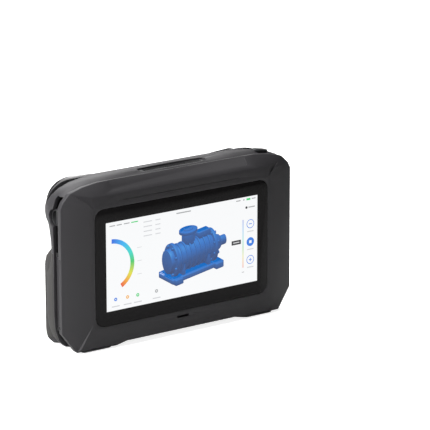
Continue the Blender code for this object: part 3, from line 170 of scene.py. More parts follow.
# %% Socket class and paint class
class Value:
    """One output socket that understands + - * and / by adding Math nodes."""

    def __init__(self, paint, socket):
        self.paint = paint
        self.socket = socket

    def maths(self, operation, first, second):
        node = self.paint.add("ShaderNodeMath", {"operation": operation}, {0: first, 1: second})
        return Value(self.paint, node.outputs[0])

    def __add__(self, other):
        return self.maths("ADD", self, other)

    __radd__ = __add__

    def __sub__(self, other):
        return self.maths("SUBTRACT", self, other)

    def __rsub__(self, other):
        return self.maths("SUBTRACT", other, self)

    def __mul__(self, other):
        return self.maths("MULTIPLY", self, other)

    __rmul__ = __mul__

    def __truediv__(self, other):
        return self.maths("DIVIDE", self, other)

    def below(self, limit):
        return self.maths("LESS_THAN", self, limit)

    def power(self, exponent):
        return self.maths("POWER", self, exponent)


class Paint:
    """A material under construction, with its Principled shader."""

    def __init__(self, name, colour, roughness, metallic=0.0, coat=0.0, specular=0.5):
        self.material = bpy.data.materials.new(name)
        self.material.use_nodes = True
        self.tree = self.material.node_tree
        self.shader = self.tree.nodes["Principled BSDF"]
        self.set("Base Color", (*colour, 1.0))
        self.set("Roughness", roughness)
        self.set("Metallic", metallic)
        self.set("Coat Weight", coat)
        self.set("Coat Roughness", 0.03)
        self.set("Specular IOR Level", specular)

    def set(self, name, value):
        if isinstance(value, Value):
            self.tree.links.new(value.socket, self.shader.inputs[name])
        else:
            self.shader.inputs[name].default_value = value

    def add(self, kind, settings=None, sockets=None):
        """Any node: its type, its settings, then values or links for its sockets."""
        node = self.tree.nodes.new(kind)
        for name, setting in (settings or {}).items():
            setattr(node, name, setting)
        for name, value in (sockets or {}).items():
            if isinstance(value, Value):
                self.tree.links.new(value.socket, node.inputs[name])
            else:
                node.inputs[name].default_value = value
        return node

    def place(self):
        """The place on the object, in metres."""
        return Value(self, self.add("ShaderNodeTexCoord").outputs["Object"])

    def noise(self, scale, detail=2.0, where=None):
        node = self.add("ShaderNodeTexNoise", {}, {"Vector": where or self.place(), "Scale": scale,
                                                   "Detail": detail})
        return Value(self, node.outputs["Fac"])

    def parts(self):
        """The X, Y and Z of the place as three values."""
        node = self.add("ShaderNodeSeparateXYZ", {}, {0: self.place()})
        return [Value(self, socket) for socket in node.outputs]

    def blend(self, share, first, second):
        """A colour between two colours."""
        node = self.add("ShaderNodeMix", {"data_type": "RGBA"})
        for index, value in ((0, share), (6, first), (7, second)):
            if isinstance(value, Value):
                self.tree.links.new(value.socket, node.inputs[index])
            else:
                node.inputs[index].default_value = value
        return Value(self, node.outputs[2])

    def ramp(self, share, stops):
        node = self.add("ShaderNodeValToRGB", {}, {0: share})
        while len(node.color_ramp.elements) < len(stops):
            node.color_ramp.elements.new(0.5)
        for element, (position, colour) in zip(node.color_ramp.elements, stops):
            element.position = position
            element.color = (*colour, 1.0)
        return Value(self, node.outputs["Color"])

    def bump(self, height, distance, strength=1.0):
        node = self.add("ShaderNodeBump", {}, {"Height": height, "Distance": distance,
                                               "Strength": strength})
        self.set("Normal", Value(self, node.outputs["Normal"]))


# %% [markdown]
# ## Moulded housing
# The housing is warm dark grey plastic from a spark-eroded mould: a fine, even grain that
# scatters the light. Two noises make it. The fine one is the grain, the wide one is the faint
# change of sheen that handling leaves.

# %% Housing plastic
def lighter(colour, factor):
    return tuple(channel * factor for channel in colour)


def moulded(name, colour, roughness, grain=0.00004, pitch=2600.0):
    paint = Paint(name, colour, roughness, specular=0.32)
    fine = paint.noise(pitch, 3.0)
    wide = paint.noise(22.0, 2.0)
    paint.set("Base Color", paint.blend(wide * 0.5 + fine * 0.5, (*lighter(colour, 0.86), 1.0),
                                        (*lighter(colour, 1.16), 1.0)))
    paint.set("Roughness", wide * 0.12 + (roughness - 0.06))
    paint.bump(fine, grain, 0.6)
    return paint.material


housing_colour = (0.021, 0.020, 0.022)
housing = moulded("housing_plastic", housing_colour, 0.50)
frame_plastic = moulded("frame_plastic", (0.010, 0.010, 0.011), 0.55)
trim_plastic = moulded("trim_plastic", (0.014, 0.014, 0.015), 0.42)
foot_rubber = moulded("foot_rubber", (0.080, 0.080, 0.082), 0.8, 0.00006, 1400.0)
grip_rubber = moulded("grip_rubber", (0.028, 0.027, 0.026), 0.78, 0.00008, 1500.0)


# %% [markdown]
# ## Gloss black
# The cover glass, the window and the camera pods are mirror smooth, so what shows is mostly
# reflection. A trace of wiped-off smudges in the roughness keeps them from looking computed.

# %% Gloss surfaces
def glossy(name, colour, roughness, specular=0.35):
    paint = Paint(name, colour, roughness, specular=specular)
    smudge = paint.noise(45.0, 4.0)
    paint.set("Roughness", smudge * 0.06 + roughness)
    paint.set("Base Color", paint.blend(smudge, (*lighter(colour, 0.8), 1.0), (*lighter(colour, 1.3), 1.0)))
    return paint.material


cover_gloss = glossy("cover_glass", (0.0050, 0.0046, 0.0048), 0.06, 0.12)
pod_gloss = glossy("pod_gloss", (0.0060, 0.0055, 0.0058), 0.07)


# %% [markdown]
# ## Metal, boards and cells
# The pieces inside show only through the grilles and when the scanner is opened, yet each gets
# its own finish: milled or stamped metal with brush lines, a green circuit board with traces
# and pads, black chip resin and the blue sleeve of a battery.

# %% Inner finishes
def brushed(name, colour, roughness):
    paint = Paint(name, colour, roughness, metallic=1.0)
    x, y, z = paint.parts()
    across = paint.add("ShaderNodeCombineXYZ", {}, {0: x * 30.0, 1: y * 30.0, 2: z * 2400.0})
    lines = paint.noise(1.0, 2.0, Value(paint, across.outputs[0]))
    paint.set("Roughness", lines * 0.25 + (roughness - 0.1))
    paint.set("Base Color", paint.blend(lines, (*lighter(colour, 0.85), 1.0), (*colour, 1.0)))
    return paint.material


def circuit_board(name):
    paint = Paint(name, (0.01, 0.07, 0.03), 0.35)
    cells = paint.add("ShaderNodeTexVoronoi", {"feature": "DISTANCE_TO_EDGE", "distance": "CHEBYCHEV"},
                      {"Vector": paint.place(), "Scale": 420.0})
    trace = Value(paint, cells.outputs["Distance"]).below(0.07)
    pads = paint.add("ShaderNodeTexVoronoi", {"distance": "CHEBYCHEV"},
                     {"Vector": paint.place(), "Scale": 260.0})
    pad = Value(paint, pads.outputs["Distance"]).below(0.16)
    green = paint.blend(trace, (0.008, 0.060, 0.028, 1.0), (0.016, 0.105, 0.048, 1.0))
    paint.set("Base Color", paint.blend(pad, green, (0.55, 0.42, 0.16, 1.0)))
    paint.set("Metallic", pad * 0.9)
    paint.bump(trace, 0.00003, 0.5)
    return paint.material


steel = brushed("steel", (0.60, 0.60, 0.62), 0.32)
aluminium = brushed("aluminium", (0.66, 0.67, 0.68), 0.40)
board_green = circuit_board("circuit_board")
chip_resin = moulded("chip_resin", (0.016, 0.016, 0.018), 0.45, 0.00002, 3200.0)
battery_sleeve = moulded("battery_sleeve", (0.035, 0.11, 0.28), 0.35, 0.00002, 900.0)


# %% [markdown]
# ## Lenses
# A coated lens is nearly black. The coloured reflections of its coated elements are painted into
# its colour, as rings of tint that change from the middle to the rim: a painted reflection. The
# pattern has to sit on each lens's own axis, so the distance from that axis is worked out from
# the object coordinates and sent through a colour ramp.

# %% Lens finish
def painted_reflection_lens(name, centre, radius, inner_reflection_tint, outer_reflection_tint):
    """Black glass with a painted reflection: rings of tint that change with the distance from a centre in X
    and Z.
    """
    paint = Paint(name, (0.01, 0.01, 0.012), 0.04, coat=1.0)
    x, y, z = paint.parts()
    across = x - centre.x
    up = z - centre.z
    distance = (across * across + up * up).power(0.5) / radius
    tint = paint.ramp(distance, ((0.0, lighter(inner_reflection_tint, 0.25)), (0.35, inner_reflection_tint),
                                 (0.62, lighter(outer_reflection_tint, 0.3)), (0.85, outer_reflection_tint),
                                 (1.0, (0.01, 0.01, 0.01))))
    paint.set("Base Color", tint)
    return paint.material


# %% [markdown]
# ## Helpers for selecting and finishing
# An operator works on whatever is selected, and loading the model leaves its pieces selected.
# So each piece starts with an empty selection. `twin` copies a model piece as a clean mesh:
# its loose triangles are merged and the flat ones are joined again, which gives bevels real
# edges to work on.

# %% Selection, copies and finish
def only(piece):
    """Selects one object and nothing else."""
    bpy.ops.object.select_all(action="DESELECT")
    piece.select_set(True)
    bpy.context.view_layer.objects.active = piece
    return piece


def apply_all(piece):
    only(piece)
    for step in list(piece.modifiers):
        bpy.ops.object.modifier_apply(modifier=step.name)


def settle_place(piece):
    """Puts an object's place and size into its mesh."""
    only(piece)
    bpy.ops.object.transform_apply(location=True, rotation=True, scale=True)
    return piece


def twin(node, name, flat=math.radians(0.8)):
    """A merged copy of a model piece, with its flat faces whole again."""
    mesh = frame["nodes"][node].data.copy()
    mesh.materials.clear()
    piece = bpy.data.objects.new(name, mesh)
    bpy.context.scene.collection.objects.link(piece)
    only(piece)
    bpy.ops.object.mode_set(mode="EDIT")
    bpy.ops.mesh.select_all(action="SELECT")
    bpy.ops.mesh.remove_doubles(threshold=0.000002)
    bpy.ops.mesh.dissolve_limited(angle_limit=flat)
    bpy.ops.object.mode_set(mode="OBJECT")
    return piece


def rounded(piece, width, segments=2, angle=math.radians(28)):
    """A bevel along the sharp edges, applied."""
    edge = piece.modifiers.new("edge", "BEVEL")
    edge.width = width
    edge.segments = segments
    edge.limit_method = "ANGLE"
    edge.angle_limit = angle
    edge.use_clamp_overlap = True
    edge.harden_normals = False
    apply_all(piece)
    return piece


def smooth(piece, angle=math.radians(35)):
    only(piece)
    bpy.ops.object.shade_smooth_by_angle(angle=angle)
    return piece


body_of = {node: body for body, nodes in frame["record"]["behaviour"]["bodies"].items() for node in nodes}


def finished(piece, paint, node):
    """Gives a piece its finish and its body, and hides the model piece that it stands for."""
    piece.data.materials.clear()
    piece.data.materials.append(paint)
    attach(piece, body_of[node])
    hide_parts(node)
    return piece


def tint(piece, colour):
    """Stores one colour on all of a piece's corners."""
    layer = piece.data.color_attributes.new("tint", "FLOAT_COLOR", "CORNER")
    layer.data.foreach_set("color", [*colour, 1.0] * len(piece.data.loops))
    return piece


def joined(name, pieces):
    """Several pieces made into one, which takes the last one's settings."""
    bpy.ops.object.select_all(action="DESELECT")
    for piece in pieces:
        piece.select_set(True)
    bpy.context.view_layer.objects.active = pieces[-1]
    bpy.ops.object.join()
    bpy.context.object.name = name
    return bpy.context.object


def carve(piece, *cutters):
    """Cuts the shapes of other pieces out of one, and removes them."""
    for cutter in cutters:
        step = piece.modifiers.new("carve", "BOOLEAN")
        step.object = cutter
        apply_all(piece)
        bpy.data.objects.remove(cutter)
    return piece


# %% [markdown]
# ## Model pieces with softened edges
# No moulded or milled edge is a perfect knife edge. Each of these pieces keeps its shape from
# the model and gets a small bevel and smooth shading, which is what catches the highlights.

# %% Softened shells
softened_pieces = {
    "front_bezel": (housing, 0.45, 24),
    "rear_housing": (housing, 0.25, 40),
    "middle_frame": (frame_plastic, 0.15, 40),
    "grip_insert_right": (grip_rubber, 0.20, 50),
    "grip_insert_left": (grip_rubber, 0.20, 50),
    "port_door": (housing, 0.15, 40),
    "scan_button": (trim_plastic, 0.12, 50),
    "strap_lug_right": (trim_plastic, 0.15, 50),
    "strap_lug_left": (trim_plastic, 0.15, 50),
    "exhaust_grille": (trim_plastic, 0.12, 50),
    "foot_right": (foot_rubber, 0.20, 50),
    "foot_left": (foot_rubber, 0.20, 50),
}
for node, (paint, edge, sharp) in softened_pieces.items():
    piece = twin(node, f"{node}_shell")
    rounded(piece, edge * mm, 2, math.radians(sharp))
    smooth(piece)
    finished(piece, paint, node)
print("softened pieces:", len(softened_pieces))

# %% [markdown]
# ## Finish for the pieces that keep their model shape

# %% Plain finishes
plain_finishes = {
    "display_panel": chip_resin, "speaker": chip_resin,
    "scan_switch": steel, "usb_socket": steel, "power_socket": trim_plastic,
    "port_door_pin": steel, "sensor_board": board_green,
    "sensor_bench": aluminium, "mainboard": board_green, "processor_chip": chip_resin,
    "heat_sink": aluminium, "fan_frame": chip_resin, "fan_impeller": chip_resin,
}
for side in ("right", "left"):
    plain_finishes[f"camera_board_{side}"] = board_green
    plain_finishes[f"battery_{side}"] = battery_sleeve
    plain_finishes[f"battery_tray_{side}"] = frame_plastic
for node in frame["nodes"]:
    if node.startswith("bench_screw"):
        plain_finishes[node] = steel
for node, paint in plain_finishes.items():
    mesh = frame["nodes"][node].data
    mesh.materials.clear()
    mesh.materials.append(paint)
left_to_make = set(frame["nodes"]) - set(plain_finishes) - set(softened_pieces)
print("pieces still to make:", sorted(left_to_make))

# %% [markdown]
# ## Shapes with round ends, and turned shapes
# The head, its window and the camera pods share one outline: long, with half-round ends. We
# take a cylinder and pull its halves apart. Lenses come from a closed profile that is spun
# round its axis.

# %% Round shapes
round_points = 96


def long_round(name, length, height, low, high):
    """A plate with round ends across X, from one Y to another."""
    bpy.ops.mesh.primitive_cylinder_add(vertices=round_points, radius=height / 2, depth=high - low,
                                        rotation=(math.pi / 2, math.pi / round_points, 0.0))
    plate = bpy.context.object
    plate.name = name
    settle_place(plate)
    for vertex in plate.data.vertices:
        vertex.co.x += math.copysign((length - height) / 2, vertex.co.x)
        vertex.co.y += (low + high) / 2
    return plate


def slab(name, wide, high, front, back, turn=0.0):
    """A block across X and Z, from one Y to another, turned about the Y axis."""
    bpy.ops.mesh.primitive_cube_add(size=1.0, location=(0.0, (front + back) / 2, 0.0))
    piece = bpy.context.object
    piece.name = name
    piece.scale = (wide, back - front, high)
    piece.rotation_euler.y = turn
    return settle_place(piece)


def turned_piece(name, profile, segments=64):
    """Spins a closed profile of radii and heights, in millimetres, round the Y axis."""
    bpy.ops.mesh.primitive_circle_add(vertices=len(profile))
    piece = bpy.context.object
    piece.name = name
    for vertex, (radius, height) in zip(piece.data.vertices, profile):
        vertex.co = (radius * mm, height * mm, 0.0)
    bpy.ops.object.mode_set(mode="EDIT")
    bpy.ops.mesh.select_all(action="SELECT")
    bpy.ops.mesh.spin(steps=segments, angle=math.tau, center=(0.0, 0.0, 0.0), axis=(0.0, 1.0, 0.0))
    bpy.ops.mesh.select_all(action="SELECT")
    bpy.ops.mesh.remove_doubles(threshold=0.000003)
    bpy.ops.mesh.delete_loose()
    bpy.ops.mesh.select_all(action="SELECT")
    bpy.ops.mesh.normals_make_consistent(inside=False)
    bpy.ops.object.mode_set(mode="OBJECT")
    return piece


def moved(piece, place):
    """Moves a piece by a matrix and settles it there."""
    piece.matrix_world = place
    return settle_place(piece)


def middle_of(node):
    low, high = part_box(node)
    return (low + high) / 2


# %% [markdown]
# ## Sensor head
# The head is a shallow dome with round ends. One face is extruded towards the back in three
# steps, each a little smaller than the last. Then the seats of the pods, the window and the
# thin groove above it are carved out.

# %% Head housing
head_low, head_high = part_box("head_housing")
head_middle = (head_low + head_high) / 2
head_length = head_high.x - head_low.x
head_height = head_high.z - head_low.z
# Each step: how far back it goes, and its length and height against the step before
head_steps = ((0.45, 0.987, 0.991), (0.35, 0.979, 0.978), (0.20, 0.971, 0.963))
pod_seam = 0.7 * mm
window_low, window_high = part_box("window_glass")
window_length = window_high.x - window_low.x
window_height = window_high.z - window_low.z
window_gap = 0.25 * mm
window_ledge = 1.4 * mm
head_groove = (77.0 * mm, 0.9 * mm, 1.5 * mm)
head_groove_rise = 17.5 * mm

bpy.ops.mesh.primitive_circle_add(vertices=round_points, radius=head_height / 2, fill_type="NGON",
                                  rotation=(math.pi / 2, math.pi / round_points, 0.0))
head = bpy.context.object
head.name = "head_shell"
settle_place(head)
for vertex in head.data.vertices:
    vertex.co.x += math.copysign((head_length - head_height) / 2, vertex.co.x)
bpy.ops.object.mode_set(mode="EDIT")
bpy.ops.mesh.select_all(action="SELECT")
for share, longer, higher in head_steps:
    step_back = (head_high.y - head_low.y) * share
    bpy.ops.mesh.extrude_region_move(TRANSFORM_OT_translate={"value": (0.0, step_back, 0.0)})
    bpy.ops.transform.resize(value=(longer, 1.0, higher))
bpy.ops.mesh.select_all(action="SELECT")
bpy.ops.mesh.normals_make_consistent(inside=False)
bpy.ops.object.mode_set(mode="OBJECT")
moved(head, Matrix.Translation((head_middle.x, head_low.y, head_middle.z)))

cutters = []
for side, label in ((1, "right"), (-1, "left")):
    pod_low, pod_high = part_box(f"camera_pod_{label}")
    seat_length = pod_high.x - pod_low.x + 2 * pod_seam
    seat_height = pod_high.z - pod_low.z + 2 * pod_seam
    seat = long_round("pod_seat", seat_length, seat_height, head_low.y - mm, head_high.y + mm)
    seat_side = middle_of(f"camera_pod_{label}").x
    cutters.append(moved(seat, Matrix.Translation((seat_side, 0.0, head_middle.z))))
window_back = window_low.y - window_gap
for grow, start in ((window_gap, window_back), (-window_ledge, head_low.y - mm)):
    seat = long_round("window_seat", window_length + 2 * grow, window_height + 2 * grow,
                      start, head_high.y + mm)
    cutters.append(moved(seat, Matrix.Translation((0.0, 0.0, head_middle.z))))
wide, high, deep = head_groove
line = slab("groove", wide, high, head_high.y - deep, head_high.y + mm)
cutters.append(moved(line, Matrix.Translation((0.0, 0.0, head_middle.z + head_groove_rise))))
carve(head, *cutters)
rounded(head, 0.35 * mm, 3, math.radians(40))
smooth(head)
finished(head, housing, "head_housing")

# %% [markdown]
# ## Sensors behind the window
# Two square cameras, four small projectors, two of which lean, and one round range finder sit
# in cut-outs of the gloss black window. Each is built from a rim, a sunk floor and what lies on
# the floor, and each part keeps its own colour. The range finder's small eye is pale grey, which
# is a painted highlight.

# %% Window and sensors
rim_grey = (0.075, 0.070, 0.074)
floor_grey = (0.010, 0.009, 0.011)
lens_grey = (0.045, 0.042, 0.050)
blush = (0.420, 0.130, 0.150)
# painted highlight: glint is the pale grey that the range finder's small eye is tinted with
glint = (0.360, 0.340, 0.360)

tinted_glass = Paint("tinted_glass", floor_grey, 0.16, specular=0.5)
stored_tint = tinted_glass.add("ShaderNodeVertexColor", {"layer_name": "tint"})
tinted_glass.set("Base Color", Value(tinted_glass, stored_tint.outputs["Color"]))

sensor_rim = 1.0 * mm
sensor_sunk = 0.75 * mm
projector_lean = {"laser_projector_3": math.radians(25), "laser_projector_4": math.radians(-25)}
projector_wide, projector_high = 6.8 * mm, 8.4 * mm
# Profiles to spin: radius and height in millimetres
camera_ring = ((1.5, -0.7), (2.5, -0.7), (2.5, -0.25), (2.2, -0.05), (1.9, -0.05), (1.5, -0.5))
camera_eye = ((0.0, -0.7), (1.6, -0.7), (1.5, -0.5), (0.9, -0.36), (0.0, -0.3))
range_eye = ((0.0, -0.7), (1.1, -0.7), (1.0, -0.3), (0.5, -0.15), (0.0, -0.12))


def framed(wide, high, thick, turn=0.0):
    """A rim round a sunk floor, with its face on the X and Z axes."""
    rim = slab("rim", wide, high, -thick, 0.0, turn)
    carve(rim, slab("sunk", wide - 2 * sensor_rim, high - 2 * sensor_rim, -sensor_sunk, mm, turn))
    rounded(rim, 0.22 * mm, 2, math.radians(50))
    floor_plate = slab("floor_plate", wide - 2 * sensor_rim, high - 2 * sensor_rim, -1.2 * sensor_sunk,
                       -0.9 * sensor_sunk, turn)
    return [tint(rim, rim_grey), tint(floor_plate, floor_grey)]


def sensor(node, parts):
    low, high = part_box(node)
    place = Matrix.Translation(((low.x + high.x) / 2, high.y, (low.z + high.z) / 2))
    piece = moved(joined(f"{node}_unit", parts), place)
    smooth(piece)
    finished(piece, tinted_glass.material, node)


window_cutters = []
for node in sorted(frame["nodes"]):
    if not node.startswith(("laser_projector", "infrared_camera", "range_sensor")):
        continue
    low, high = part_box(node)
    thick = high.y - low.y
    grow = 2 * window_gap
    if node.startswith("laser_projector"):
        turn = projector_lean.get(node, 0.0)
        parts = framed(projector_wide, projector_high, thick, turn)
        strip = slab("strip", 1.3 * mm, 4.2 * mm, -0.9 * sensor_sunk, -0.4 * sensor_sunk)
        moved(strip, Matrix.Rotation(turn, 4, "Y") @ Matrix.Translation((1.5 * mm, 0.0, 0.4 * mm)))
        parts.append(tint(rounded(strip, 0.15 * mm), blush))
        hole = slab("hole", projector_wide + grow, projector_high + grow, low.y, high.y + mm, turn)
    elif node.startswith("infrared_camera"):
        size = high.x - low.x
        parts = framed(size, size, thick)
        ring = turned_piece("ring", camera_ring)
        eye = turned_piece("eye", camera_eye, 40)
        parts += [tint(ring, lens_grey), tint(eye, floor_grey)]
        hole = slab("hole", size + grow, size + grow, low.y, high.y + mm)
    else:
        radius = (high.x - low.x) / 2 / mm
        deep = thick / mm
        ring = turned_piece("ring", ((0.0, -deep), (radius, -deep), (radius, -0.2), (radius - 0.2, 0.0),
                                     (radius - 0.9, 0.0), (radius - 1.2, -0.6), (0.0, -0.6)))
        eye = turned_piece("eye", range_eye, 40)
        # the eye takes the painted highlight colour glint
        parts = [tint(ring, rim_grey), tint(eye, glint)]
        wider = radius + window_gap / mm
        hole = turned_piece("hole", ((0.0, -deep), (wider, -deep), (wider, 1.0), (0.0, 1.0)))
        moved(hole, Matrix.Translation((0.0, high.y, 0.0)))
    sensor(node, parts)
    window_cutters.append(moved(hole, Matrix.Translation(((low.x + high.x) / 2, 0.0, (low.z + high.z) / 2))))

window = long_round("window_sheet", window_length, window_height, window_low.y, window_high.y)
moved(window, Matrix.Translation((0.0, 0.0, head_middle.z)))
carve(window, *window_cutters)
rounded(window, 0.12 * mm, 2, math.radians(50))
smooth(window)
finished(window, pod_gloss, "window_glass")

# %% [markdown]
# ## Camera pods
# Each pod is turned ten degrees inwards, so that both stereo cameras look at one place. We
# model a pod flat, with its face on the X and Z axes, and turn it into place at the end. Its
# sheet has holes for the lens, the colour camera, six light blocks and two small emitters.

# %% Places on a pod
pod_toe_in = math.radians(10)
cover_low, cover_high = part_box("pod_cover_right")
pod_length = cover_high.x - cover_low.x
pod_height = cover_high.z - cover_low.z
pod_side = (cover_low.x + cover_high.x) / 2
pod_face = cover_high.y - pod_length / 2 * math.tan(pod_toe_in)
sheet_thickness = 1.4 * mm
lens_offset = 7.5 * mm
colour_offset = -16.5 * mm
emitter_offset = -14.5 * mm
emitter_rise = 9.9 * mm
light_count = 6
light_radius = 13.3 * mm
light_size = 3.0 * mm
light_sunk = 0.1 * mm
hole_gap = 0.25 * mm
pod_wall, pocket_depth = 2.4 * mm, 3.0 * mm
bedding_gap = 0.05 * mm
board_margin = 2.7 * mm
board_low, board_high = -2.7 * mm, -1.7 * mm
light_foot = -2.2 * mm
# Radii and depths of the round holes, in millimetres
sheet_hole_depth = 4.0
sheet_lens_hole, sheet_colour_hole, sheet_emitter_hole = 8.6, 5.15, 2.25
body_lens_hole, body_lens_depth = 8.65, 7.7
body_colour_hole, body_colour_depth = 5.2, 5.8


def pod_place(side, offset=0.0):
    """From a flat pod to its turned place, at an offset along its face."""
    x = side * pod_side + offset * math.cos(pod_toe_in)
    y = pod_face + (abs(x) - pod_side) * math.tan(pod_toe_in)
    return Matrix.Translation((x, y, head_middle.z)) @ Matrix.Rotation(side * pod_toe_in, 4, "Z")


def along_face(offset):
    return Matrix.Translation((offset, 0.0, 0.0))


def light_places():
    """Where the six light blocks lie round the lens, and how each is turned."""
    for index in range(light_count):
        angle = math.pi / 2 + math.tau * index / light_count
        across = lens_offset + light_radius * math.cos(angle)
        up = light_radius * math.sin(angle)
        yield Matrix.Translation((across, 0.0, up)) @ Matrix.Rotation(-angle, 4, "Y")


def emitter_places():
    for rise in (emitter_rise, -emitter_rise):
        yield Matrix.Translation((emitter_offset, 0.0, rise))


def round_hole(radius, deep):
    """A cutter for a round hole, from its depth to above the face."""
    return turned_piece("round_hole", ((0.0, -deep), (radius, -deep), (radius, 1.0), (0.0, 1.0)))


# %% Sheet and body of each pod
for side, label in ((1, "right"), (-1, "left")):
    sheet = long_round("pod_sheet", pod_length / math.cos(pod_toe_in), pod_height, -sheet_thickness, 0.0)
    holes = [moved(round_hole(sheet_lens_hole, sheet_hole_depth), along_face(lens_offset)),
             moved(round_hole(sheet_colour_hole, sheet_hole_depth), along_face(colour_offset))]
    for place in light_places():
        wide = light_size + 2 * hole_gap
        holes.append(moved(slab("light_hole", wide, wide, -sheet_hole_depth * mm, mm), place))
    for place in emitter_places():
        holes.append(moved(round_hole(sheet_emitter_hole, sheet_hole_depth), place))
    carve(sheet, *holes)
    rounded(sheet, 0.22 * mm, 3, math.radians(60))
    moved(smooth(sheet), pod_place(side))
    finished(sheet, pod_gloss, f"pod_cover_{label}")

    body_low, body_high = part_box(f"camera_pod_{label}")
    pod = long_round("pod_body", pod_length, pod_height, body_low.y, body_high.y)
    moved(pod, Matrix.Translation((side * pod_side, 0.0, head_middle.z)))
    above = slab("above", 2 * pod_length, 2 * pod_height, -sheet_thickness - bedding_gap, 30.0 * mm)
    pocket = long_round("pocket", pod_length - 2 * pod_wall, pod_height - 2 * pod_wall,
                        -pocket_depth, 0.0)
    bores = [moved(round_hole(body_lens_hole, body_lens_depth), along_face(lens_offset)),
             moved(round_hole(body_colour_hole, body_colour_depth), along_face(colour_offset))]
    carve(pod, *[moved(cutter, pod_place(side)) for cutter in (above, pocket, *bores)])
    smooth(pod, math.radians(30))
    finished(pod, pod_gloss, f"camera_pod_{label}")

# %% [markdown]
# ## Lenses and lights
# The big lens is a turned barrel with stepped baffles down to its glass. The colour camera is
# a smaller one with a grey face. The light blocks and the two domed emitters stand on a board
# under the sheet, and their tops lie just below its surface.

# %% Lenses
barrel_profile = ((0.0, -7.4), (8.35, -7.4), (8.35, 0.05), (8.1, 0.3), (7.6, 0.3), (7.35, 0.1), (7.2, -0.35),
                  (6.85, -0.35), (6.75, -0.8), (6.4, -0.8), (6.3, -1.25), (5.95, -1.25), (5.85, -1.7),
                  (5.85, -3.6), (0.0, -3.6))
glass_radius, glass_edge, glass_crown = 5.6, -2.5, 0.9
glass_profile = [(0.0, -3.4), (glass_radius, -3.4), (glass_radius, glass_edge)]
for step in range(1, 13):
    angle = math.pi / 2 * step / 12
    glass_profile.append((glass_radius * math.cos(angle), glass_edge + glass_crown * math.sin(angle)))
colour_barrel = ((0.0, -5.5), (4.9, -5.5), (4.9, -0.05), (4.75, 0.15), (4.4, 0.15), (4.2, -0.2), (3.4, -0.45),
                 (3.2, -0.9), (2.6, -1.1), (2.5, -1.9), (0.0, -1.9))
colour_glass = ((0.0, -1.9), (2.4, -1.9), (2.4, -1.4), (1.7, -1.05), (0.8, -0.9), (0.0, -0.85))
barrel_black = Paint("barrel_black", (0.016, 0.015, 0.016), 0.32, specular=0.6)
barrel_black.set("Roughness", barrel_black.noise(300.0) * 0.12 + 0.26)
# painted reflection: the two tints of the rings painted into each lens glass
inner_reflection_tint, outer_reflection_tint = (0.090, 0.022, 0.030), (0.015, 0.050, 0.045)

for side, label in ((1, "right"), (-1, "left")):
    barrel = turned_piece(f"lens_barrel_{label}", barrel_profile, 72)
    moved(smooth(barrel), pod_place(side, lens_offset))
    finished(barrel, barrel_black.material, f"stereo_lens_{label}")
    glass = turned_piece(f"lens_glass_{label}", glass_profile, 72)
    moved(smooth(glass, math.radians(50)), pod_place(side, lens_offset))
    # each lens glass takes the painted reflection rings
    ringed_lens_paint = painted_reflection_lens(f"lens_painted_reflection_{label}", middle_of(f"stereo_glass_{label}"), glass_radius * mm,
                          inner_reflection_tint, outer_reflection_tint)
    finished(glass, ringed_lens_paint, f"stereo_glass_{label}")
    small = joined(f"colour_camera_{label}_unit", [
        tint(turned_piece("small_barrel", colour_barrel, 56), (0.085, 0.083, 0.086)),
        tint(turned_piece("small_glass", colour_glass, 48), (0.030, 0.028, 0.034))])
    moved(smooth(small), pod_place(side, colour_offset))
    finished(small, tinted_glass.material, f"colour_camera_{label}")

# %% Light boards
light_cream = (0.800, 0.790, 0.560)
emitter_grey = (0.130, 0.128, 0.135)
emitter_profile = ((0.0, -2.2), (2.0, -2.2), (2.0, -0.9), (1.85, -0.5), (1.4, -0.25), (0.7, -0.12),
                   (0.0, -0.1))
light_paint = Paint("light_blocks", light_cream, 0.30, specular=0.5)
light_tint = light_paint.add("ShaderNodeVertexColor", {"layer_name": "tint"})
light_paint.set("Base Color", Value(light_paint, light_tint.outputs["Color"]))

for side, label in ((1, "right"), (-1, "left")):
    board = long_round("board_plate", pod_length - 2 * board_margin, pod_height - 2 * board_margin,
                       board_low, board_high)
    carve(board, moved(round_hole(body_lens_hole, sheet_hole_depth), along_face(lens_offset)),
          moved(round_hole(body_colour_hole, sheet_hole_depth), along_face(colour_offset)))
    parts = [tint(board, floor_grey)]
    for place in light_places():
        cell = slab("light", light_size, light_size, light_foot, -light_sunk)
        rounded(cell, 0.3 * mm, 3, math.radians(60))
        parts.append(tint(moved(cell, place), light_cream))
    for place in emitter_places():
        parts.append(tint(moved(turned_piece("emitter", emitter_profile, 40), place), emitter_grey))
    lights = joined(f"lights_{label}", parts)
    moved(smooth(lights), pod_place(side))
    finished(lights, light_paint.material, f"light_board_{label}")

# %% [markdown]
# ## Intake grille
# The air inlet is a field of round holes in staggered rows. The outermost holes are smaller,
# so the field fades towards its border. All holes are joined into one cutter, which makes a
# single cut.

# %% Intake grille
grille_low, grille_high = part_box("intake_grille")
grille_middle = (grille_low + grille_high) / 2
grille_pitch = 3.25 * mm
grille_rise = grille_pitch * math.sqrt(3) / 2
row_count, column_count = 11, 22
wide_hole, small_hole = 1.95 * mm, 1.1 * mm
grille_corner = 4.0 * mm

plate = slab("grille_plate", grille_high.x - grille_low.x, grille_high.z - grille_low.z,
             grille_low.y, grille_high.y)
bpy.ops.object.mode_set(mode="EDIT")
bpy.ops.mesh.select_all(action="DESELECT")
plate_mesh = bmesh.from_edit_mesh(plate.data)
for edge in plate_mesh.edges:
    edge.select = abs(edge.verts[0].co.y - edge.verts[1].co.y) > 0.5 * mm
bmesh.update_edit_mesh(plate.data)
bpy.ops.mesh.bevel(offset=grille_corner, segments=10)
bpy.ops.object.mode_set(mode="OBJECT")
moved(plate, Matrix.Translation((grille_middle.x, 0.0, grille_middle.z)))

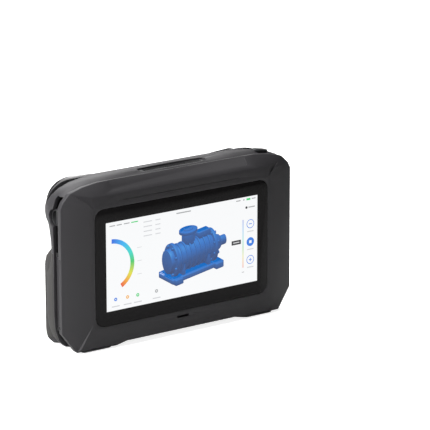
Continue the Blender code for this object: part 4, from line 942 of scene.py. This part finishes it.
holes = []
for row in range(row_count):
    staggered = row % 2
    for column in range(column_count - staggered):
        x = grille_middle.x + (column - (column_count - 1 - staggered) / 2) * grille_pitch
        z = grille_middle.z + (row - (row_count - 1) / 2) * grille_rise
        outermost = row in (0, row_count - 1) or column in (0, column_count - 1 - staggered)
        diameter = small_hole if outermost else wide_hole
        bpy.ops.mesh.primitive_cylinder_add(vertices=14, radius=diameter / 2, depth=6.0 * mm,
                                            location=(x, grille_middle.y, z),
                                            rotation=(math.pi / 2, 0.0, 0.0))
        holes.append(bpy.context.object)
hole_field = joined("hole_field", holes)
settle_place(hole_field)
carve(plate, hole_field)
rounded(plate, 0.05 * mm, 1, math.radians(60))
smooth(plate)
finished(plate, housing, "intake_grille")
print("holes in the grille:", len(holes))

# %% [markdown]
# ## Cover glass
# The display sits close behind a gloss black sheet. The sheet is the model's own piece, with a
# shallow bed cut into its front for the lit picture, so that the picture lies just below the
# surface, as it does in a bonded display.

# %% Cover glass with a bed for the picture
display_width = 136.3 * mm
display_height = 68.2 * mm
bed_depth = 0.15 * mm
glass_low, glass_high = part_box("display_glass")
glass_front = glass_low.y
display_centre = Vector((0.0, glass_front, (glass_low.z + glass_high.z) / 2))

cover = twin("display_glass", "cover_glass_sheet")
bpy.ops.mesh.primitive_cube_add(size=1.0, location=display_centre)
bed = bpy.context.object
bed.scale = (display_width, bed_depth * 2, display_height)
settle_place(bed)
cut = cover.modifiers.new("bed", "BOOLEAN")
cut.object = bed
apply_all(cover)
bpy.data.objects.remove(bed)
rounded(cover, 0.08 * mm, 2, math.radians(60))
smooth(cover)
finished(cover, cover_gloss, "display_glass")

# %% [markdown]
# ## The picture on the screen
# Everything on the screen is a thin coloured tile, stacked in layers a few hundredths of a
# millimetre apart. Each tile keeps its colour in a colour attribute, so one glowing material
# serves them all. Lines of writing are plain grey bars.

# %% Tiles
layer_step = 0.02 * mm
screen_white = (0.90, 0.91, 0.92)
screen_tiles = []


def lie_on_screen(piece, across, up, wide, high, layer):
    """Sizes a tile, in millimetres on the screen, and lays it on its layer."""
    thick = layer_step * 0.9
    front = glass_front + bed_depth - layer * layer_step
    piece.scale = (wide * mm, thick, high * mm)
    piece.location = (across * mm, front - thick / 2, display_centre.z + up * mm)
    settle_place(piece)
    screen_tiles.append(piece)
    return piece


def bar(across, up, wide, high, colour, layer=2):
    bpy.ops.mesh.primitive_cube_add(size=1.0)
    return tint(lie_on_screen(bpy.context.object, across, up, wide, high, layer), colour)


def disc(across, up, diameter, colour, layer=2):
    bpy.ops.mesh.primitive_cylinder_add(vertices=40, radius=0.5, depth=1.0)
    piece = bpy.context.object
    piece.rotation_euler.x = math.pi / 2
    settle_place(piece)
    return tint(lie_on_screen(piece, across, up, diameter, diameter, layer), colour)


bar(0.0, 0.0, 136.3, 68.2, screen_white, 1)

# %% [markdown]
# ## Colour gauge
# The curved gauge on the left is a flat ring. A small rectangle is spun round its centre in
# edit mode, and each face then takes its colour from how far round it lies.

# %% Gauge
rainbow = ((0.0, (0.010, 0.120, 0.700)), (0.22, (0.020, 0.420, 0.860)), (0.42, (0.030, 0.660, 0.560)),
           (0.58, (0.050, 0.560, 0.120)), (0.76, (0.720, 0.700, 0.040)), (0.90, (0.860, 0.330, 0.020)),
           (1.0, (0.760, 0.080, 0.020)))


def along_rainbow(share):
    """The colour at a share of the way through the rainbow."""
    for (start, first), (end, second) in zip(rainbow, rainbow[1:]):
        if share <= end:
            part = (share - start) / (end - start)
            return tuple(a + (b - a) * part for a, b in zip(first, second))
    return rainbow[-1][1]


def tint_by(piece, share_of):
    """Colours each face by a share worked out from its centre."""
    layer = piece.data.color_attributes.new("tint", "FLOAT_COLOR", "CORNER")
    for face in piece.data.polygons:
        colour = along_rainbow(min(max(share_of(face.center), 0.0), 1.0))
        for corner in face.loop_indices:
            layer.data[corner].color = (*colour, 1.0)
    return piece


gauge_centre = Vector((-64.0 * mm, 0.0, display_centre.z + 0.8 * mm))
gauge_radius = 18.7 * mm
gauge_width = 3.4 * mm
gauge_start = math.radians(88)
gauge_sweep = math.radians(150)

bpy.ops.mesh.primitive_cube_add(size=1.0)
gauge = bpy.context.object
gauge.name = "gauge"
gauge.scale = (gauge_width, layer_step * 0.9, 0.01 * mm)
gauge.location = (gauge_centre.x + gauge_radius, glass_front + bed_depth - 2.45 * layer_step, gauge_centre.z)
settle_place(gauge)
bpy.ops.object.mode_set(mode="EDIT")
bpy.ops.mesh.select_all(action="SELECT")
bpy.ops.mesh.delete(type="ONLY_FACE")
bpy.ops.mesh.select_all(action="SELECT")
edge_mesh = bmesh.from_edit_mesh(gauge.data)
upper = [v for v in edge_mesh.verts if v.co.z > gauge_centre.z]
bmesh.ops.delete(edge_mesh, geom=upper, context="VERTS")
bmesh.update_edit_mesh(gauge.data)
bpy.ops.mesh.select_all(action="SELECT")
bpy.ops.mesh.spin(steps=72, angle=gauge_sweep, center=gauge_centre, axis=(0.0, -1.0, 0.0))
bpy.ops.mesh.select_all(action="SELECT")
bpy.ops.mesh.remove_doubles(threshold=0.000001)
bpy.ops.mesh.edge_face_add()
bpy.ops.mesh.normals_make_consistent(inside=False)
bpy.ops.object.mode_set(mode="OBJECT")
turn = (Matrix.Translation(gauge_centre) @ Matrix.Rotation(-gauge_start, 4, "Y")
        @ Matrix.Translation(-gauge_centre))
gauge.data.transform(turn)


def gauge_share(centre):
    across = centre.x - gauge_centre.x
    up = centre.z - gauge_centre.z
    return (gauge_start - math.atan2(up, across)) / gauge_sweep


tint_by(gauge, gauge_share)
screen_tiles.append(gauge)

# %% [markdown]
# ## Marks, buttons and lines of writing

# %% Interface marks
grey = (0.36, 0.37, 0.38)
pale_grey = (0.62, 0.63, 0.65)
blue = (0.010, 0.180, 0.720)
green = (0.020, 0.600, 0.140)
orange = (0.860, 0.400, 0.030)
dark = (0.012, 0.013, 0.016)

for up in (29.6, 26.0, 22.4, 18.9):
    bar(-31.5, up, 7.5, 0.75, pale_grey)
    bar(-22.5, up, 4.5, 0.75, pale_grey)
for across, wide, colour in ((-62.5, 5.0, grey), (-56.5, 4.5, grey), (-50.0, 5.0, grey), (-43.0, 6.0, green)):
    bar(across, 31.2, wide, 0.8, colour)
bar(0.6, 31.4, 13.0, 0.9, grey)
bar(50.5, 32.0, 4.0, 0.8, grey)
bar(55.6, 32.0, 1.2, 1.0, grey)
bar(59.8, 32.0, 3.6, 1.5, green)
bar(64.6, 32.0, 3.6, 0.8, grey)
disc(58.0, 25.6, 2.0, dark)
bar(62.8, 25.6, 6.0, 0.9, grey)

button_across = 61.7
for up, filled in ((12.3, False), (-1.9, True), (-16.1, False)):
    disc(button_across, up, 7.0, blue, 2)
    if not filled:
        disc(button_across, up, 6.0, screen_white, 3)
    bar(button_across, up - 5.9, 6.0, 0.9, pale_grey)
bar(button_across, 12.3, 2.8, 0.6, blue, 4)
bar(button_across, -1.9, 2.2, 2.2, screen_white, 4)
bar(button_across, -16.1, 2.8, 0.6, blue, 4)
bar(button_across, -16.1, 0.6, 2.8, blue, 5)

scale_low = -21.4
scale_high = 16.4
scale_steps = 36
for step in range(scale_steps):
    share = (step + 0.5) / scale_steps
    up = scale_high - share * (scale_high - scale_low)
    softened = tuple(0.45 * channel + 0.5 for channel in along_rainbow(share))
    bar(54.9, up, 1.3, (scale_high - scale_low) / scale_steps, softened)
bar(48.6, -0.5, 8.6, 3.4, dark, 3)
bar(48.6, -0.5, 5.6, 0.8, pale_grey, 4)
bar(54.9, -25.0, 2.2, 0.5, grey)

for across, colour in ((-60.3, blue), (-49.8, orange), (-40.8, green), (-24.1, grey)):
    disc(across, -25.6, 2.7, colour, 2)
    disc(across, -25.6, 1.0, screen_white, 3)
    bar(across, -31.0, 7.0, 0.9, pale_grey)
for up in (11.0, 0.8, -9.4):
    bar(-39.0, up, 4.0, 0.4, pale_grey)
print("tiles on the screen:", len(screen_tiles))

# %% [markdown]
# ## A scanned part on the screen
# The middle of the screen shows what the scanner has captured. Ours is a made-up pump housing.
# It is modelled as a solid, turned to a three-quarter view, shaded once from its normals, and
# then pressed flat, so that it stays a picture whichever way the scanner is seen.

# %% Pump housing, as a solid
solid_pieces = []


def block(size, place):
    bpy.ops.mesh.primitive_cube_add(size=1.0, location=place)
    piece = bpy.context.object
    piece.scale = size
    settle_place(piece)
    solid_pieces.append(rounded(piece, min(size) * 0.18, 2, math.radians(60)))
    return piece


def drum(radius, length, place, turn=(0.0, 0.0, 0.0), top=None):
    bpy.ops.mesh.primitive_cone_add(vertices=56, radius1=radius, radius2=top or radius, depth=length,
                                    location=place, rotation=turn)
    piece = bpy.context.object
    settle_place(piece)
    solid_pieces.append(rounded(piece, min(radius, length) * 0.08, 2, math.radians(60)))
    return piece


flat_turn = (0.0, math.pi / 2, 0.0)
block((66.0, 34.0, 4.5), (0.0, 0.0, -17.0))
for foot_x in (-26.0, 26.0):
    block((10.0, 42.0, 6.0), (foot_x, 0.0, -17.5))
    block((3.5, 26.0, 16.0), (foot_x * 0.62, 0.0, -10.0))
drum(13.5, 46.0, (0.0, 0.0, 0.0), flat_turn)
for rib in range(7):
    drum(15.0, 1.6, (-18.0 + rib * 6.0, 0.0, 0.0), flat_turn)
for end in (-1.0, 1.0):
    drum(17.0, 3.6, (end * 24.5, 0.0, 0.0), flat_turn)
    for bolt in range(8):
        angle = math.tau * (bolt + 0.5) / 8
        drum(1.5, 6.4, (end * 25.0, 14.6 * math.cos(angle), 14.6 * math.sin(angle)), flat_turn)
drum(11.0, 9.0, (31.0, 0.0, 0.0), flat_turn, 7.0)
drum(5.0, 12.0, (37.0, 0.0, 0.0), flat_turn)
drum(12.0, 5.0, (-29.0, 0.0, 0.0), flat_turn, 12.5)
drum(7.5, 13.0, (-4.0, 0.0, 17.0))
drum(10.5, 2.8, (-4.0, 0.0, 24.0))
drum(5.2, 3.4, (-4.0, 0.0, 24.6))
block((16.0, 12.0, 7.0), (14.0, 0.0, 16.0))

bpy.ops.object.select_all(action="DESELECT")
for piece in solid_pieces:
    piece.select_set(True)
bpy.context.view_layer.objects.active = solid_pieces[0]
bpy.ops.object.join()
pump = bpy.context.object
pump.name = "scanned_pump"
smooth(pump, math.radians(32))

# %% Shade it and press it flat
view_turn = Matrix.Rotation(math.radians(20), 4, "X") @ Matrix.Rotation(math.radians(28), 4, "Z")
pump.data.transform(view_turn)
lamp_direction = Vector((-0.35, -0.55, 0.80)).normalized()
fill_direction = Vector((0.75, -0.60, 0.10)).normalized()
pump_shade = pump.data.color_attributes.new("tint", "FLOAT_COLOR", "CORNER")
dark_blue = Vector((0.001, 0.016, 0.085))
mid_blue = Vector((0.002, 0.160, 0.600))
light_blue = Vector((0.090, 0.460, 0.880))
pump.data.update()
corner_normals = pump.data.corner_normals
for corner in range(len(pump.data.loops)):
    normal = Vector(corner_normals[corner].vector)
    lit = max(normal.dot(lamp_direction), 0.0)
    fill = max(normal.dot(fill_direction), 0.0)
    glint = max(normal.dot((lamp_direction + Vector((0.0, -1.0, 0.0))).normalized()), 0.0) ** 24
    colour = dark_blue.lerp(mid_blue, min(lit * 0.9 + fill * 0.35, 1.0))
    colour = colour.lerp(light_blue, min(glint * 0.8, 1.0))
    pump_shade.data[corner].color = (*colour, 1.0)

pump_size = 0.80 * mm
relief = 0.0006 * mm
pump_place = Vector((7.5 * mm, glass_front + bed_depth - 4.5 * layer_step, display_centre.z - 1.0 * mm))
pump.data.transform(Matrix.Translation(pump_place) @ Matrix.Diagonal((pump_size, relief, pump_size, 1.0)))
screen_tiles.append(pump)

# %% One picture
bpy.ops.object.select_all(action="DESELECT")
for piece in screen_tiles:
    piece.select_set(True)
bpy.context.view_layer.objects.active = screen_tiles[0]
bpy.ops.object.join()
picture = bpy.context.object
picture.name = "screen_picture"
lit_paint = Paint("lit_picture", (0.004, 0.004, 0.004), 0.08, coat=0.3)
stored = lit_paint.add("ShaderNodeVertexColor", {"layer_name": "tint"})
lit_paint.set("Emission Color", Value(lit_paint, stored.outputs["Color"]))
lit_paint.set("Emission Strength", 1.0)
picture.data.materials.clear()
picture.data.materials.append(lit_paint.material)
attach(picture, "main")
print("picture corners:", len(picture.data.loops))
